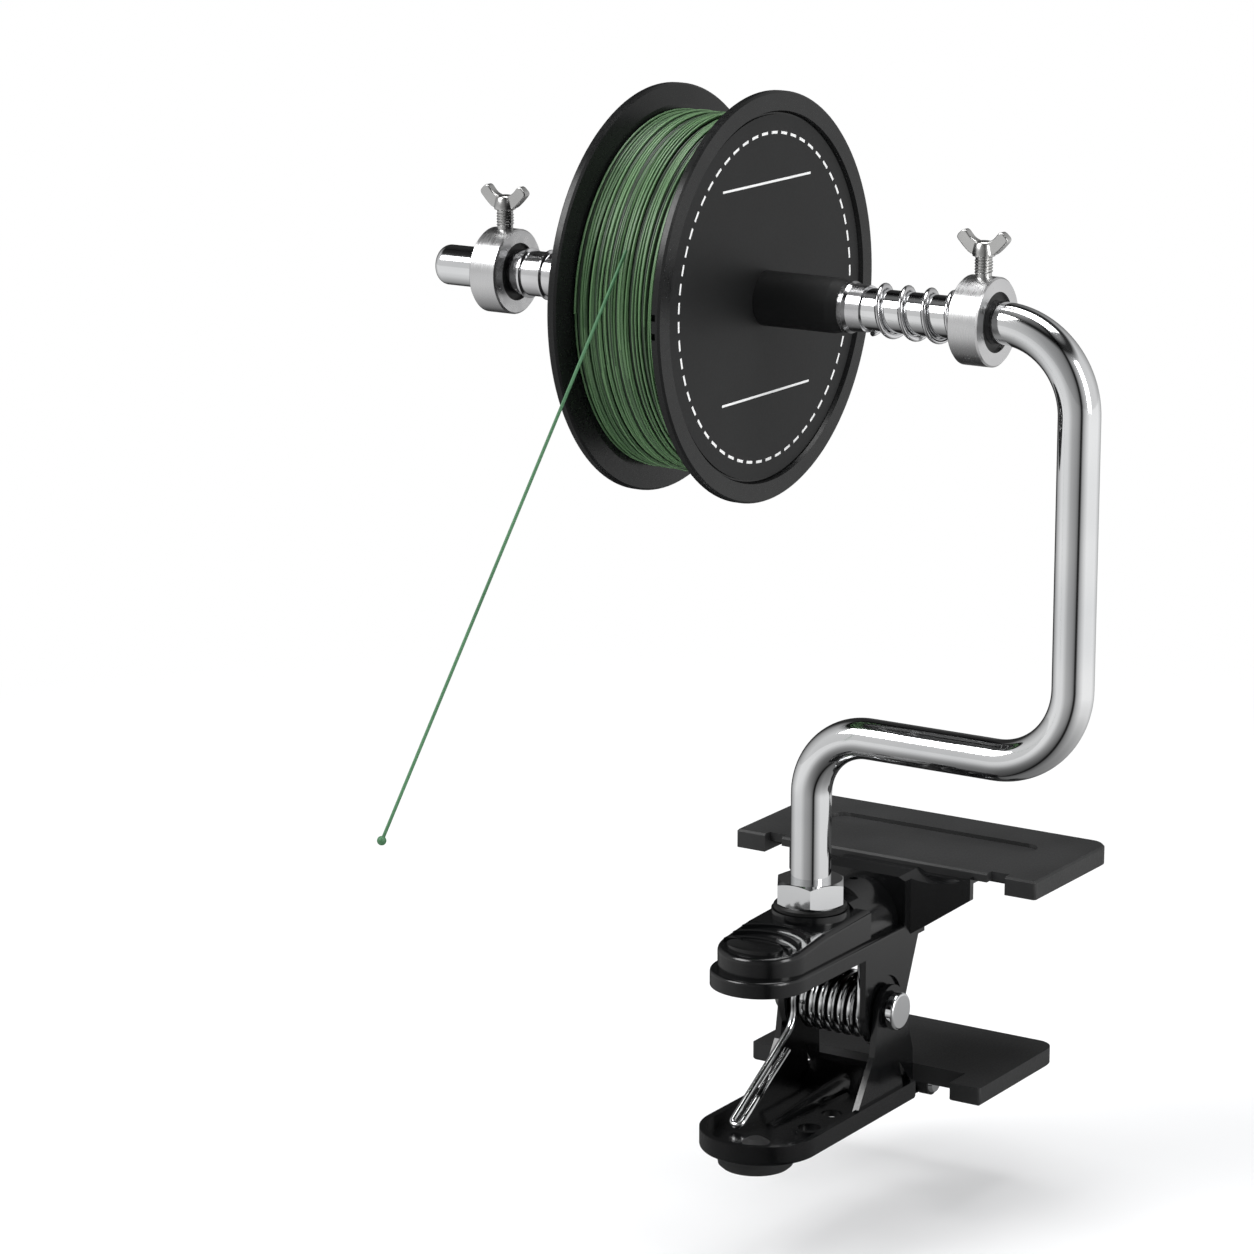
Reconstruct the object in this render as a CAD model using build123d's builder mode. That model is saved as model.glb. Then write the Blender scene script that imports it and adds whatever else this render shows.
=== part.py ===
from build123d import *
import math
import os

# Fishing line winder: a spring clamp with two wide jaws that carries a bent rod, on which a
# spool of braided line turns between two set collars. Millimetres, +Z up, +X along the spool's
# axis. The origin is the middle of the upper jaw's clamping face, which looks down.

os.makedirs("parts", exist_ok=True)

# ---------------------------------------------------------------- driving dimensions
running_fit = 0.05       # radial clearance of what turns or slides on a shaft
face_gap = 0.15          # axial clearance between pieces that move past each other
side_gap = 0.3           # clearance between the two levers' cheeks

# bent rod
rod_dia = 10.0
rod_y = -56.0            # the rod's plane, in front of the jaw's middle
rod_end_z = -10.0        # lower end, under the upper lever's roof
crank_z = 45.2           # height of the lower cross run
upright_x = 70.2         # offset of the upright from the lower end
spool_z = 149.5          # height of the spool's axis
rod_tip_x = -107.8
low_bend_radius = 16.0
high_bend_radius = 20.0
rod_tip_round = 2.6

# upper lever
flange_half = 12.4
flange_z = -8.8          # top of the lever's flange
flange_thick = 4.0
lever_nose_y = -91.4
lever_back_y = -22.0
body_half = 11.3
nose_ledge = 2.5         # the flange's reach in front of the body
thumb_z = -3.9           # top of the body at its nose
thumb_y = -82.0          # middle of the oval thumb pad
thumb_back_y = -67.0     # where the body's top starts to level off towards the rod
rib_arc_radius = 12.5    # of the three curved grip ribs
rib_front_y = -76.6
rib_spacing = 4.2
seat_z = 0.4             # boss that the rod stands on
seat_radius = 10.2
hump_z = 2.4             # crest of the barrel behind the nut
hump_radius = 10.5
lever_wall = 3.0
hollow_rise = 3.1        # the hollow's roof above the flange's top
cheek_thick = 1.6
cheek_front_y = -50.0
cheek_back_y = -24.0
pivot_y = -40.5
pivot_z = -27.7
upper_cheek_radius = 9.5
arm_half = 26.0
arm_top_z = 3.4
arm_end_z = -2.4         # underside of the arm at its ends
arm_end_depth = 2.0      # from the pad's front to the arm's ends
arm_flare = 5.5          # how much further forward the arm starts at the flange
arm_dish = 1.9           # how far the arm's top dips on each side of the barrel
tongue_half = 24.0
tongue_thick = 2.0
tongue_back_y = -12.0

# pads
pad_depth = 41.0
pad_thick = 4.7
upper_pad_width = 86.0
lower_pad_width = 66.0
pad_corner = 5.0
pad_block = 8.5          # width of the full-height blocks at the front corners
pad_slot_length = 60.0
pad_slot_width = 8.0
pad_slot_depth = 1.0
pad_slot_y = 4.3
jaw_opening = 48.3       # distance between the clamping faces
lower_pad_y = -8.0
pad_pin_y = -6.5
pad_recess = 8.0          # setback of the lower pad's front between its corner blocks
pad_pin_dia = 3.0
pad_pin_drop = 5.1       # pin's axis below the lower pad's underside
screw_spread = 32.0
screw_dia = 3.0

# lower lever
tray_height = 5.0
tray_z = -49.3           # top of the tray's rim
tray_nose_y = -93.5
tray_back_y = -29.0
tray_wall = 1.7
tray_floor = 1.8
lower_cheek_radius = 6.3
lower_cheek_thick = 2.4
foot_dia = 19.0
foot_height = 4.0
foot_y = -81.0
foot_rivet_dia = 3.6

# pivot and its spring
pin_dia = 6.0
pin_head_dia = 9.5
pin_head_thick = 2.0
bush_dia = 11.6
coil_turns = 7
coil_wire = 1.9
coil_radius = 7.3        # to the wire's middle
coil_pitch = 2.7
spring_leg_y = -76.0
leg_spacing = 2.7
leg_drop = 6.1           # where the straight leg ends, below the pivot

# nuts and washer
nut_flats = 16.0
nut_height = 6.0
lock_nut_height = 4.0
washer_dia = 18.0
washer_thick = 1.3

# set collars, their liners and wing screws
collar_dia = 21.0
collar_width = 7.8
liner_dia = 14.2
liner_recess = 0.7
left_collar_x = -88.9
right_collar_x = 44.6
wing_screw_dia = 4.0
wing_shank_top = 15.1    # underside of the screw's hub, above the rod's axis
wing_hub_height = 3.7
wing_thick = 2.5
wing_round = 1.1
wing_corners = ((1.4, 0.3), (2.9, 0.3), (7.0, 4.4), (4.6, 6.4), (1.4, 3.3))   # out, above the hub's foot
wing_rounded = {"left": ((3, 0), (2, 4)), "right": ((2, 4), (2, 0))}   # corners of the two wings

# spool
spool_x = -28.4          # middle of the spool
spool_width = 31.0
flange_radius = 49.2
flange_wall = 3.3
rim_width = 4.7
rim_height = 1.2
barrel_radius = 20.0
barrel_bore_radius = 10.5
label_margin = 0.4       # between the label and the rim
label_thick = 0.4
line_depth = 7.3         # from the flange's edge down to the wound core
strand_radius = 0.65     # across the corners of one turn's section
winding_turns = 11
winding_side_gap = 0.2   # between the end turns and the flanges

# bushes, sleeve, ferrule and tension spring
bush_reach = 22.9        # from the flange's face to the sleeve
bush_radius = 6.6
bush_tip_radius = 6.0
bush_spigot = 7.0        # depth in the spool's bore
sleeve_radius = 5.55
bead_radius = 6.2
sleeve_rim = 1.2
bead_pitch = 5.9
bead_half = 0.65
ferrule_length = 5.6
spring_wire = 1.0
spring_turns = 4

# free line
line_dia = 0.8
line_drop = (-24.7, -65.0, -130.0)   # from the spool to its end

# ---------------------------------------------------------------- worked-out places
rod_radius = rod_dia / 2
bore_radius = rod_radius + running_fit
pad_front_y = -pad_depth / 2
arm_front_y = pad_front_y - arm_end_depth
flare_y = arm_front_y - arm_flare
flange_under_z = flange_z - flange_thick
hollow_half = body_half - lever_wall
lock_nut_flats = 2 * (hollow_half - side_gap)
inner_cheek_out = flange_half
inner_cheek_in = flange_half - cheek_thick
outer_cheek_in = flange_half + side_gap
outer_cheek_out = outer_cheek_in + lower_cheek_thick
tray_half = outer_cheek_out
tray_under_z = tray_z - tray_height
tongue_z = arm_top_z - 1.0 - tongue_thick
pad_pin_z = -jaw_opening - pad_thick - pad_pin_drop
spool_axis = Axis((0, rod_y, spool_z), (1, 0, 0))
spool_left_x = spool_x - spool_width / 2
spool_right_x = spool_x + spool_width / 2
flange_face = flange_wall - rim_height
winding_width = spool_width - 2 * flange_wall
label_radius = flange_radius - rim_width - 0.5 - label_margin
wound_core_radius = flange_radius - line_depth
winding_radius = wound_core_radius + strand_radius + running_fit


def across(x):
    """The plane square to the spool's axis at x: its own axes are Y and Z."""
    return Plane(origin=(x, rod_y, spool_z), x_dir=(0, 1, 0), z_dir=(1, 0, 0))


def lever_plan(half, nose_y, back_y):
    """A lever's outline from above: straight sides and a half-round nose."""
    with BuildSketch(mode=Mode.PRIVATE) as plan:
        with BuildLine():
            Polyline((half, nose_y + half), (half, back_y), (-half, back_y), (-half, nose_y + half))
            RadiusArc((-half, nose_y + half), (half, nose_y + half), -half)
        make_face()
    return plan.sketch


def biarc(start, start_dir, end, end_dir):
    """Two tangent arcs from start to end, with the given directions at both."""
    chord = end - start
    sum_dir = start_dir + end_dir
    twist = 2 * (1 - start_dir.dot(end_dir))
    push = chord.dot(sum_dir)
    step = (-push + math.sqrt(push * push + twist * chord.dot(chord))) / twist
    joint = (start + end + (start_dir - end_dir) * step) / 2
    first = Edge.make_tangent_arc(start, start_dir, joint)
    second = Edge.make_tangent_arc(joint, first.tangent_at(1), end)
    return [first, second]


def coil_edges(centre, radius, pitch, turns, first_angle, direction=1):
    """A coil about the X axis through centre, as biarcs of at most a quarter turn each."""
    def place(angle):
        travel = pitch * angle / math.tau
        return centre + Vector(travel, radius * math.cos(first_angle + direction * angle),
                               radius * math.sin(first_angle + direction * angle))

    def heading(angle):
        turn = first_angle + direction * angle
        return Vector(pitch / math.tau, -direction * radius * math.sin(turn),
                      direction * radius * math.cos(turn)).normalized()

    edges = []
    steps = math.ceil(4 * turns - 1e-6)
    for step in range(steps):
        low, high = step * turns * math.tau / steps, (step + 1) * turns * math.tau / steps
        edges += biarc(place(low), heading(low), place(high), heading(high))
    return edges


def least_gap(edges, thickness, skip, spacing=1.0):
    """The least distance of a wire's surface to itself, past skip millimetres along it."""
    points = []
    for edge in edges:
        count = max(2, round(edge.length / spacing))
        points += [edge.position_at(i / count) for i in range(count)]
    apart = round(skip / spacing)
    least = 1e9
    for i in range(0, len(points), 2):
        for j in range(i + apart, min(len(points), i + 4 * apart)):
            least = min(least, (points[i] - points[j]).length)
    return least - thickness


# ---------------------------------------------------------------- upper lever
# The raised body: a boxy thumb end that rises towards the rod, cut to a rounded plan.
with BuildPart() as thumb_end:
    with BuildSketch(Plane.YZ):
        with BuildLine():
            Polyline((lever_nose_y, flange_z - 0.5), (lever_nose_y, thumb_z),
                     (thumb_y + 4, thumb_z + 0.9), (thumb_back_y, thumb_z + 2.2),
                     (rod_y + seat_radius, thumb_z + 3.0), (rod_y + seat_radius, flange_z - 0.5),
                     close=True)
        make_face()
    extrude(amount=body_half, both=True)
    with BuildSketch(Plane.XY.offset(flange_z - 0.5)):
        add(lever_plan(body_half, lever_nose_y + nose_ledge, lever_back_y))
    extrude(amount=20, mode=Mode.INTERSECT)
    fillet(thumb_end.edges().group_by(Axis.Z)[-1] + thumb_end.edges().filter_by(
        lambda e: e.center().Z > thumb_z - 0.1), radius=1.4)

# Three curved grip ribs behind the oval thumb pad.
with BuildPart() as grip_ribs:
    for rib in range(3):
        with BuildSketch(Plane.XY.offset(flange_z + 1)):
            with Locations((0, rib_front_y + rib * rib_spacing - rib_arc_radius)):
                Circle(rib_arc_radius + 0.65)
                Circle(rib_arc_radius - 0.65, mode=Mode.SUBTRACT)
        extrude(amount=thumb_z + 1.7 + 0.5 * rib - flange_z - 1)
    with BuildSketch(Plane.XY.offset(flange_z)):
        with Locations((0, rib_front_y + rib_spacing / 2)):
            Rectangle(2 * body_half - 4.4, 3 * rib_spacing + 3)
    extrude(amount=20, mode=Mode.INTERSECT)

# Barrel behind the rod, rounded at its back end.
with BuildPart() as hump:
    with BuildSketch(Plane.XZ.offset(-lever_back_y)):
        with Locations((0, hump_z - hump_radius)):
            Circle(hump_radius)
        with Locations((0, flange_under_z - hump_radius)):
            Rectangle(3 * hump_radius, 2 * hump_radius, mode=Mode.SUBTRACT)
    extrude(amount=26)
    fillet(hump.edges().filter_by(GeomType.CIRCLE).filter_by(
        lambda e: abs(e.center().Y - lever_back_y) < 0.01), radius=2.4)

with BuildPart() as upper_lever:
    with BuildSketch(Plane.XY.offset(flange_under_z)):
        add(lever_plan(flange_half, lever_nose_y, lever_back_y - 4))
    extrude(amount=flange_thick)
    fillet(upper_lever.edges().group_by(Axis.Z)[-1], radius=0.8)
    # flared arm in front of the slab, and its dished top
    with BuildSketch(Plane.XY.offset(flange_under_z)):
        with BuildLine():
            Polyline((-inner_cheek_out, flare_y - 3), (-inner_cheek_out, flare_y),
                     (-arm_half, arm_front_y), (-arm_half, pad_front_y - 0.3),
                     (arm_half, pad_front_y - 0.3), (arm_half, arm_front_y),
                     (inner_cheek_out, flare_y), (inner_cheek_out, flare_y - 3), close=True)
        make_face()
    extrude(amount=arm_top_z - flange_under_z)
    dish_half = (arm_half - hump_radius) / 2
    dish_radius = (dish_half ** 2 + arm_dish ** 2) / (2 * arm_dish)
    with BuildSketch(Plane.XZ.offset(-pad_front_y)):
        with Locations((dish_half - arm_half, arm_top_z - arm_dish + dish_radius),
                       (arm_half - dish_half, arm_top_z - arm_dish + dish_radius)):
            Circle(dish_radius)
    extrude(amount=20, mode=Mode.SUBTRACT)
    # the arm's underside climbs from the flange to its ends
    for side in (-1, 1):
        with BuildSketch(Plane.XZ.offset(-pad_front_y)):
            with BuildLine():
                Polyline((side * inner_cheek_out, flange_under_z - 1),
                         (side * inner_cheek_out, flange_under_z + 1.0), (side * arm_half, arm_end_z),
                         (side * (arm_half + 1), arm_end_z), (side * (arm_half + 1), flange_under_z - 1),
                         close=True)
            make_face()
        extrude(amount=20, mode=Mode.SUBTRACT)
    add(hump.part)
    add(thumb_end.part)
    add(grip_ribs.part)
    # oval thumb pad with a shallow dish
    with BuildSketch(Plane.XY.offset(thumb_z - 1)):
        with Locations((0, thumb_y)):
            Ellipse(7.4, 4.6)
    extrude(amount=2.5)
    with BuildSketch(Plane.XZ.offset(-thumb_y)):
        with Locations((0, thumb_z + 0.9 + 45)):
            Circle(45)
    extrude(amount=3.2, both=True, mode=Mode.SUBTRACT)
    # boss under the rod's nut
    with BuildSketch(Plane.XY.offset(flange_z)):
        with Locations((0, rod_y)):
            Circle(seat_radius)
    extrude(amount=seat_z - flange_z, taper=4)
    with BuildSketch(Plane.XY.offset(seat_z)):
        with Locations((0, rod_y)):
            Circle(seat_radius + 4)
    extrude(amount=6, mode=Mode.SUBTRACT)
    # hollow underside
    with BuildSketch(Plane.XY.offset(flange_under_z)):
        add(lever_plan(hollow_half, lever_nose_y + nose_ledge + lever_wall, -28))
    extrude(amount=flange_thick + hollow_rise, mode=Mode.SUBTRACT)
    with BuildSketch(Plane.XZ.offset(28)):
        with Locations((0, hump_z - hump_radius)):
            Circle(hump_radius - 2.2)
    extrude(amount=36, mode=Mode.SUBTRACT)
    # tongue that slides under the upper pad's lip
    with BuildSketch(Plane.XY.offset(tongue_z)):
        with Locations((0, (pad_front_y + tongue_back_y) / 2 - 1)):
            Rectangle(2 * tongue_half, tongue_back_y - pad_front_y + 2)
    extrude(amount=tongue_thick)
    # two cheeks down to the pivot
    for side in (-1, 1):
        with BuildSketch(Plane.YZ.offset(side * (inner_cheek_in + cheek_thick / 2))):
            with Locations((pivot_y, pivot_z)):
                Circle(upper_cheek_radius)
            with Locations((cheek_front_y + 1, flange_under_z), (cheek_back_y - 1, flange_under_z)):
                Circle(1)
            make_hull()
        extrude(amount=cheek_thick / 2, both=True)
    # shallow round relief where the outer cheeks turn
    for side in (-1, 1):
        with BuildSketch(Plane.YZ.offset(side * inner_cheek_out)):
            with Locations((pivot_y, pivot_z)):
                Circle(upper_cheek_radius - 1.1)
        extrude(amount=-side * 0.7, mode=Mode.SUBTRACT)
    # holes: pivot, rod, screws, small vent in the hump
    with BuildSketch(Plane.YZ):
        with Locations((pivot_y, pivot_z)):
            Circle(pin_dia / 2)
    extrude(amount=40, both=True, mode=Mode.SUBTRACT)
    with BuildSketch(Plane.XY.offset(rod_end_z)):
        with Locations((0, rod_y)):
            Circle(bore_radius)
    extrude(amount=30, mode=Mode.SUBTRACT)
    with Locations((0, -35, hump_z + 1)):
        Hole(1.1, depth=5)
    with Locations(Plane.XY.offset(tongue_z)):
        with Locations((-screw_spread / 2, -16), (screw_spread / 2, -16)):
            Hole(screw_dia / 2, depth=10)
            Cone(screw_dia, screw_dia / 2, 1.2, align=(Align.CENTER, Align.CENTER, Align.MIN),
                 mode=Mode.SUBTRACT)
upper_lever.part.label = "upper_lever"
export_step(upper_lever.part, "parts/upper_lever.step")

# ---------------------------------------------------------------- jaw pads
def pad_outline(width, depth, middle_y):
    """Pad from above: rounded back corners and square front corners."""
    with BuildSketch(mode=Mode.PRIVATE) as outline:
        with Locations((0, middle_y)):
            Rectangle(width, depth)
        fillet(outline.vertices().group_by(Axis.Y)[-1], radius=pad_corner)
        fillet(outline.vertices().group_by(Axis.Y)[0], radius=0.8)
    return outline.sketch


with BuildPart() as upper_pad:
    with BuildSketch():
        add(pad_outline(upper_pad_width, pad_depth, 0))
    extrude(amount=pad_thick)
    chamfer(upper_pad.edges().group_by(Axis.Z)[-1], length=0.5)
    with BuildSketch(Plane.XY.offset(pad_thick)):
        with Locations((0, pad_slot_y)):
            SlotOverall(pad_slot_length, pad_slot_width)
    extrude(amount=-pad_slot_depth, mode=Mode.SUBTRACT)
    # pocket for the arm's tongue, and a notch beside each corner block
    pocket_half = upper_pad_width / 2 - pad_block
    with BuildSketch():
        with Locations((0, (pad_front_y + tongue_back_y) / 2)):
            Rectangle(2 * pocket_half, tongue_back_y - pad_front_y)
    extrude(amount=tongue_z + tongue_thick, mode=Mode.SUBTRACT)
    with BuildSketch():
        with Locations((-pocket_half + 2.5, pad_front_y), (pocket_half - 2.5, pad_front_y)):
            Rectangle(5, 5)
    extrude(amount=pad_thick, mode=Mode.SUBTRACT)
    with Locations(Plane.XY):
        with Locations((-screw_spread / 2, -16), (screw_spread / 2, -16)):
            Cylinder(screw_dia / 2, pad_thick - 0.8, align=(Align.CENTER, Align.CENTER, Align.MIN),
                     mode=Mode.SUBTRACT)
upper_pad.part.label = "upper_pad"
export_step(upper_pad.part, "parts/upper_pad.step")

with BuildPart() as pad_screws:
    with Locations(Plane.XY.offset(tongue_z)):
        with Locations((-screw_spread / 2, -16), (screw_spread / 2, -16)):
            Cylinder(screw_dia / 2, pad_thick - 0.8 - tongue_z,
                     align=(Align.CENTER, Align.CENTER, Align.MIN))
            Cone(screw_dia, screw_dia / 2, 1.2, align=(Align.CENTER, Align.CENTER, Align.MIN))
pad_screws.part.label = "pad_screws"
export_step(pad_screws.part, "parts/pad_screws.step")

lug_in = 4.6
lug_out = 7.6
with BuildPart() as lower_pad:
    with BuildSketch(Plane.XY.offset(-jaw_opening - pad_thick)):
        add(pad_outline(lower_pad_width, pad_depth, lower_pad_y))
    extrude(amount=pad_thick)
    chamfer(lower_pad.edges().group_by(Axis.Z)[0], length=0.5)
    # the front edge is set back between the corner blocks
    with BuildSketch(Plane.XY.offset(-jaw_opening - pad_thick)):
        with Locations((0, lower_pad_y - (pad_depth - pad_recess) / 2)):
            Rectangle(lower_pad_width - 2 * pad_block, pad_recess)
    extrude(amount=pad_thick, mode=Mode.SUBTRACT)
    # two lugs that hold the pin
    for side in (-1, 1):
        with BuildSketch(Plane.YZ.offset(side * (lug_in + lug_out) / 2)):
            with Locations((pad_pin_y, pad_pin_z)):
                Circle(3.1)
            with Locations((pad_pin_y - 4, -jaw_opening - pad_thick + 0.5),
                           (pad_pin_y + 4, -jaw_opening - pad_thick + 0.5)):
                Circle(0.4)
            make_hull()
        extrude(amount=(lug_out - lug_in) / 2, both=True)
    with BuildSketch(Plane.YZ):
        with Locations((pad_pin_y, pad_pin_z)):
            Circle(pad_pin_dia / 2)
    extrude(amount=lug_out + 1, both=True, mode=Mode.SUBTRACT)
lower_pad.part.label = "lower_pad"
export_step(lower_pad.part, "parts/lower_pad.step")

with BuildPart() as lower_pad_pin:
    with BuildSketch(Plane.YZ):
        with Locations((pad_pin_y, pad_pin_z)):
            Circle(pad_pin_dia / 2)
    extrude(amount=lug_out, both=True)
    for side in (-1, 1):
        with BuildSketch(Plane.YZ.offset(side * lug_out)):
            with Locations((pad_pin_y, pad_pin_z)):
                Circle(2.5)
        extrude(amount=side * 1.0, taper=20)
lower_pad_pin.part.label = "lower_pad_pin"
export_step(lower_pad_pin.part, "parts/lower_pad_pin.step")

# ---------------------------------------------------------------- lower lever
with BuildPart() as lower_lever:
    with BuildSketch(Plane.XY.offset(tray_under_z)):
        add(lever_plan(tray_half, tray_nose_y, tray_back_y))
    extrude(amount=tray_height)
    fillet(lower_lever.edges().group_by(Axis.Z)[0], radius=1.0)
    # tray's hollow, with a small round in its floor
    with BuildSketch(Plane.XY.offset(tray_z)):
        add(lever_plan(tray_half - tray_wall, tray_nose_y + tray_wall, tray_back_y - tray_wall))
    extrude(amount=-(tray_height - tray_floor), mode=Mode.SUBTRACT)
    # ramp that stiffens the tray's back wall
    with BuildSketch(Plane.YZ):
        with BuildLine():
            Polyline((-40, tray_under_z + 0.5), (tray_back_y, tray_under_z + 0.5),
                     (tray_back_y, tray_z + 2.2), (-31.5, tray_z + 1.6), close=True)
        make_face()
    extrude(amount=outer_cheek_in, both=True)
    # rounded ridge that runs forward from the ramp and fades into the floor
    for ridge_y, ridge_half in ((-34, 3.6), (-70, 1.2)):
        with BuildSketch(Plane.XZ.offset(-ridge_y)):
            with Locations((-2.6, tray_under_z + tray_floor - 0.4)):
                Circle(ridge_half)
                with Locations((0, -5)):
                    Rectangle(12, 10, mode=Mode.SUBTRACT)
    loft()
    # screw boss on the floor, and two runners beneath it
    with BuildSketch(Plane.XY.offset(tray_under_z + tray_floor)):
        with Locations((7, -67.4)):
            Circle(3.8)
            Circle(2.8, mode=Mode.SUBTRACT)
    extrude(amount=0.9)
    with BuildSketch(Plane.XY.offset(tray_under_z)):
        with Locations((-11.6, -54), (11.6, -54)):
            Rectangle(2.4, 38)
    extrude(amount=-1.1)
    # outer cheeks
    for side in (-1, 1):
        with BuildSketch(Plane.YZ.offset(side * (outer_cheek_in + cheek_thick / 2))):
            with Locations((pivot_y, pivot_z)):
                Circle(lower_cheek_radius)
            with Locations((-29.9, -40.9), (-28.9 - 0.6, tray_z)):
                Circle(0.5)
            make_hull()
            with BuildLine():
                Polyline((pivot_y - lower_cheek_radius, pivot_z), (-48.6, -38), (-56.4, tray_z - 0.5),
                         (-34, tray_z - 0.5), (pivot_y, pivot_z), close=True)
            make_face()
        extrude(amount=cheek_thick / 2, both=True)
    # rear arm under the lower pad, ending in the pad's hinge barrel
    with BuildSketch(Plane.YZ):
        with BuildLine():
            Polyline((-40, tray_under_z + 0.4), (-28.9, tray_under_z + 0.4),
                     (-28.4, pad_pin_z + 1.5), (pad_pin_y, pad_pin_z + 1.5),
                     (pad_pin_y, pad_pin_z - 2.6), (-31, pad_pin_z - 2.0), close=True)
        make_face()
    extrude(amount=lug_in - face_gap, both=True)
    with BuildSketch(Plane.YZ):
        with Locations((pad_pin_y, pad_pin_z)):
            Circle(2.9)
    extrude(amount=lug_in - face_gap, both=True)
    with BuildSketch(Plane.YZ):
        with Locations((pad_pin_y, pad_pin_z)):
            Circle(pad_pin_dia / 2 + running_fit)
        with Locations((pivot_y, pivot_z)):
            Circle(pin_dia / 2 + running_fit)
    extrude(amount=40, both=True, mode=Mode.SUBTRACT)
    # holes in the floor: a screw hole and the foot's rivet
    with Locations((5.3, -53.6, tray_z)):
        Hole(2.6, depth=tray_height)
    with Locations((0, foot_y, tray_z)):
        Hole(foot_rivet_dia / 2, depth=tray_height)
lower_lever.part.label = "lower_lever"
export_step(lower_lever.part, "parts/lower_lever.step")

with BuildPart() as foot:
    with BuildSketch(Plane.XY.offset(tray_under_z)):
        with Locations((0, foot_y)):
            Circle(foot_dia / 2)
    extrude(amount=-foot_height, taper=6)
    chamfer(foot.edges().group_by(Axis.Z)[0], length=0.7)
    with Locations((0, foot_y, tray_under_z)):
        Cylinder(foot_rivet_dia / 2, tray_floor, align=(Align.CENTER, Align.CENTER, Align.MIN))
    with Locations((0, foot_y, tray_under_z + tray_floor)):
        Cone(foot_rivet_dia / 2 + 1.6, foot_rivet_dia / 2, 1.0,
             align=(Align.CENTER, Align.CENTER, Align.MIN))
foot.part.label = "foot"
export_step(foot.part, "parts/foot.step")

# ---------------------------------------------------------------- pivot
with BuildPart() as pivot_pin:
    with BuildSketch(Plane.YZ.offset(-outer_cheek_out - 2.4)):
        with Locations((pivot_y, pivot_z)):
            Circle(pin_dia / 2)
    extrude(amount=2 * outer_cheek_out + 2.4 + face_gap)
    with BuildSketch(Plane.YZ.offset(outer_cheek_out + face_gap)):
        with Locations((pivot_y, pivot_z)):
            Circle(pin_head_dia / 2)
    extrude(amount=pin_head_thick)
    fillet(pivot_pin.edges().group_by(Axis.X)[-1], radius=0.7)
pivot_pin.part.label = "pivot_pin"
export_step(pivot_pin.part, "parts/pivot_pin.step")

with BuildPart() as pivot_clip:
    with BuildSketch(Plane.YZ.offset(-outer_cheek_out - face_gap)):
        with Locations((pivot_y, pivot_z)):
            Circle(5.0)
            Circle(pin_dia / 2, mode=Mode.SUBTRACT)
    extrude(amount=-1.0)
pivot_clip.part.label = "pivot_clip"
export_step(pivot_clip.part, "parts/pivot_clip.step")

with BuildPart() as pivot_bush:
    with BuildSketch(Plane.YZ):
        with Locations((pivot_y, pivot_z)):
            Circle(bush_dia / 2)
            Circle(pin_dia / 2, mode=Mode.SUBTRACT)
    extrude(amount=inner_cheek_in, both=True)
pivot_bush.part.label = "pivot_bush"
export_step(pivot_bush.part, "parts/pivot_bush.step")

# Seven coils round the bush, a straight end up to the lever's flange, and a folded leg that leaves
# the coils' front for the tray's floor.
pivot = Vector(0, pivot_y, pivot_z)
coil_start = pivot + Vector(-coil_turns * coil_pitch / 2, 0, 0)
leg_foot = Vector(coil_start.X, spring_leg_y,
                  tray_under_z + tray_floor + coil_wire / 2 + leg_spacing * 0.4 + face_gap)
coils = coil_edges(coil_start, coil_radius, coil_pitch, coil_turns, math.pi, direction=-1)
leg_top = coil_start - Vector(0, coil_radius + 0.3, leg_drop)
leg_dir = (leg_top - leg_foot).normalized()
fold = Vector(leg_spacing, 0, 0)
return_top = leg_foot + fold + leg_dir * ((leg_top - leg_foot).length - 8)
coil_end = coils[-1].position_at(1)
fold_middle = leg_foot + fold / 2 - leg_dir * (leg_spacing / 2)
lead = leg_top - leg_dir * 3.0
spring_path = [Edge.make_line(return_top, leg_foot + fold),
               Edge.make_three_point_arc(leg_foot + fold, fold_middle, leg_foot),
               Edge.make_line(leg_foot, lead)]
spring_path += biarc(lead, leg_dir, coils[0].position_at(0), coils[0].tangent_at(0))
spring_path += coils
spring_path += biarc(coil_end, coils[-1].tangent_at(1), coil_end + Vector(0.35, 0, 2.2), Vector(0, 0, 1))
spring_path += [Edge.make_line(coil_end + Vector(0.35, 0, 2.2),
                               Vector(coil_end.X + 0.35, coil_end.Y, flange_under_z))]
print("torsion spring's least gap:",
      round(least_gap(coils, coil_wire, math.pi * coil_radius, coil_radius / 9), 3))
with BuildPart() as torsion_spring:
    with BuildLine() as spring_line:
        add(spring_path)
    with BuildSketch(Plane(origin=return_top, z_dir=-leg_dir)):
        RegularPolygon(coil_wire / 2, 5)
    sweep(path=spring_line.wire())
torsion_spring.part.label = "torsion_spring"
export_step(torsion_spring.part, "parts/torsion_spring.step")

# ---------------------------------------------------------------- bent rod and its nuts
with BuildPart() as bent_rod:
    with BuildLine() as rod_line:
        FilletPolyline((0, rod_y, rod_end_z), (0, rod_y, crank_z), (upright_x, rod_y, crank_z),
                       (upright_x, rod_y, spool_z), (rod_tip_x, rod_y, spool_z),
                       radius=[low_bend_radius, high_bend_radius, high_bend_radius])
    with BuildSketch(Plane.XY.offset(rod_end_z)):
        with Locations((0, rod_y)):
            Circle(rod_radius)
    sweep(path=rod_line.wire())
    fillet(bent_rod.edges().group_by(Axis.X)[0], radius=rod_tip_round)
    chamfer(bent_rod.edges().group_by(Axis.Z)[0], length=0.8)
bent_rod.part.label = "bent_rod"
export_step(bent_rod.part, "parts/bent_rod.step")

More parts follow.
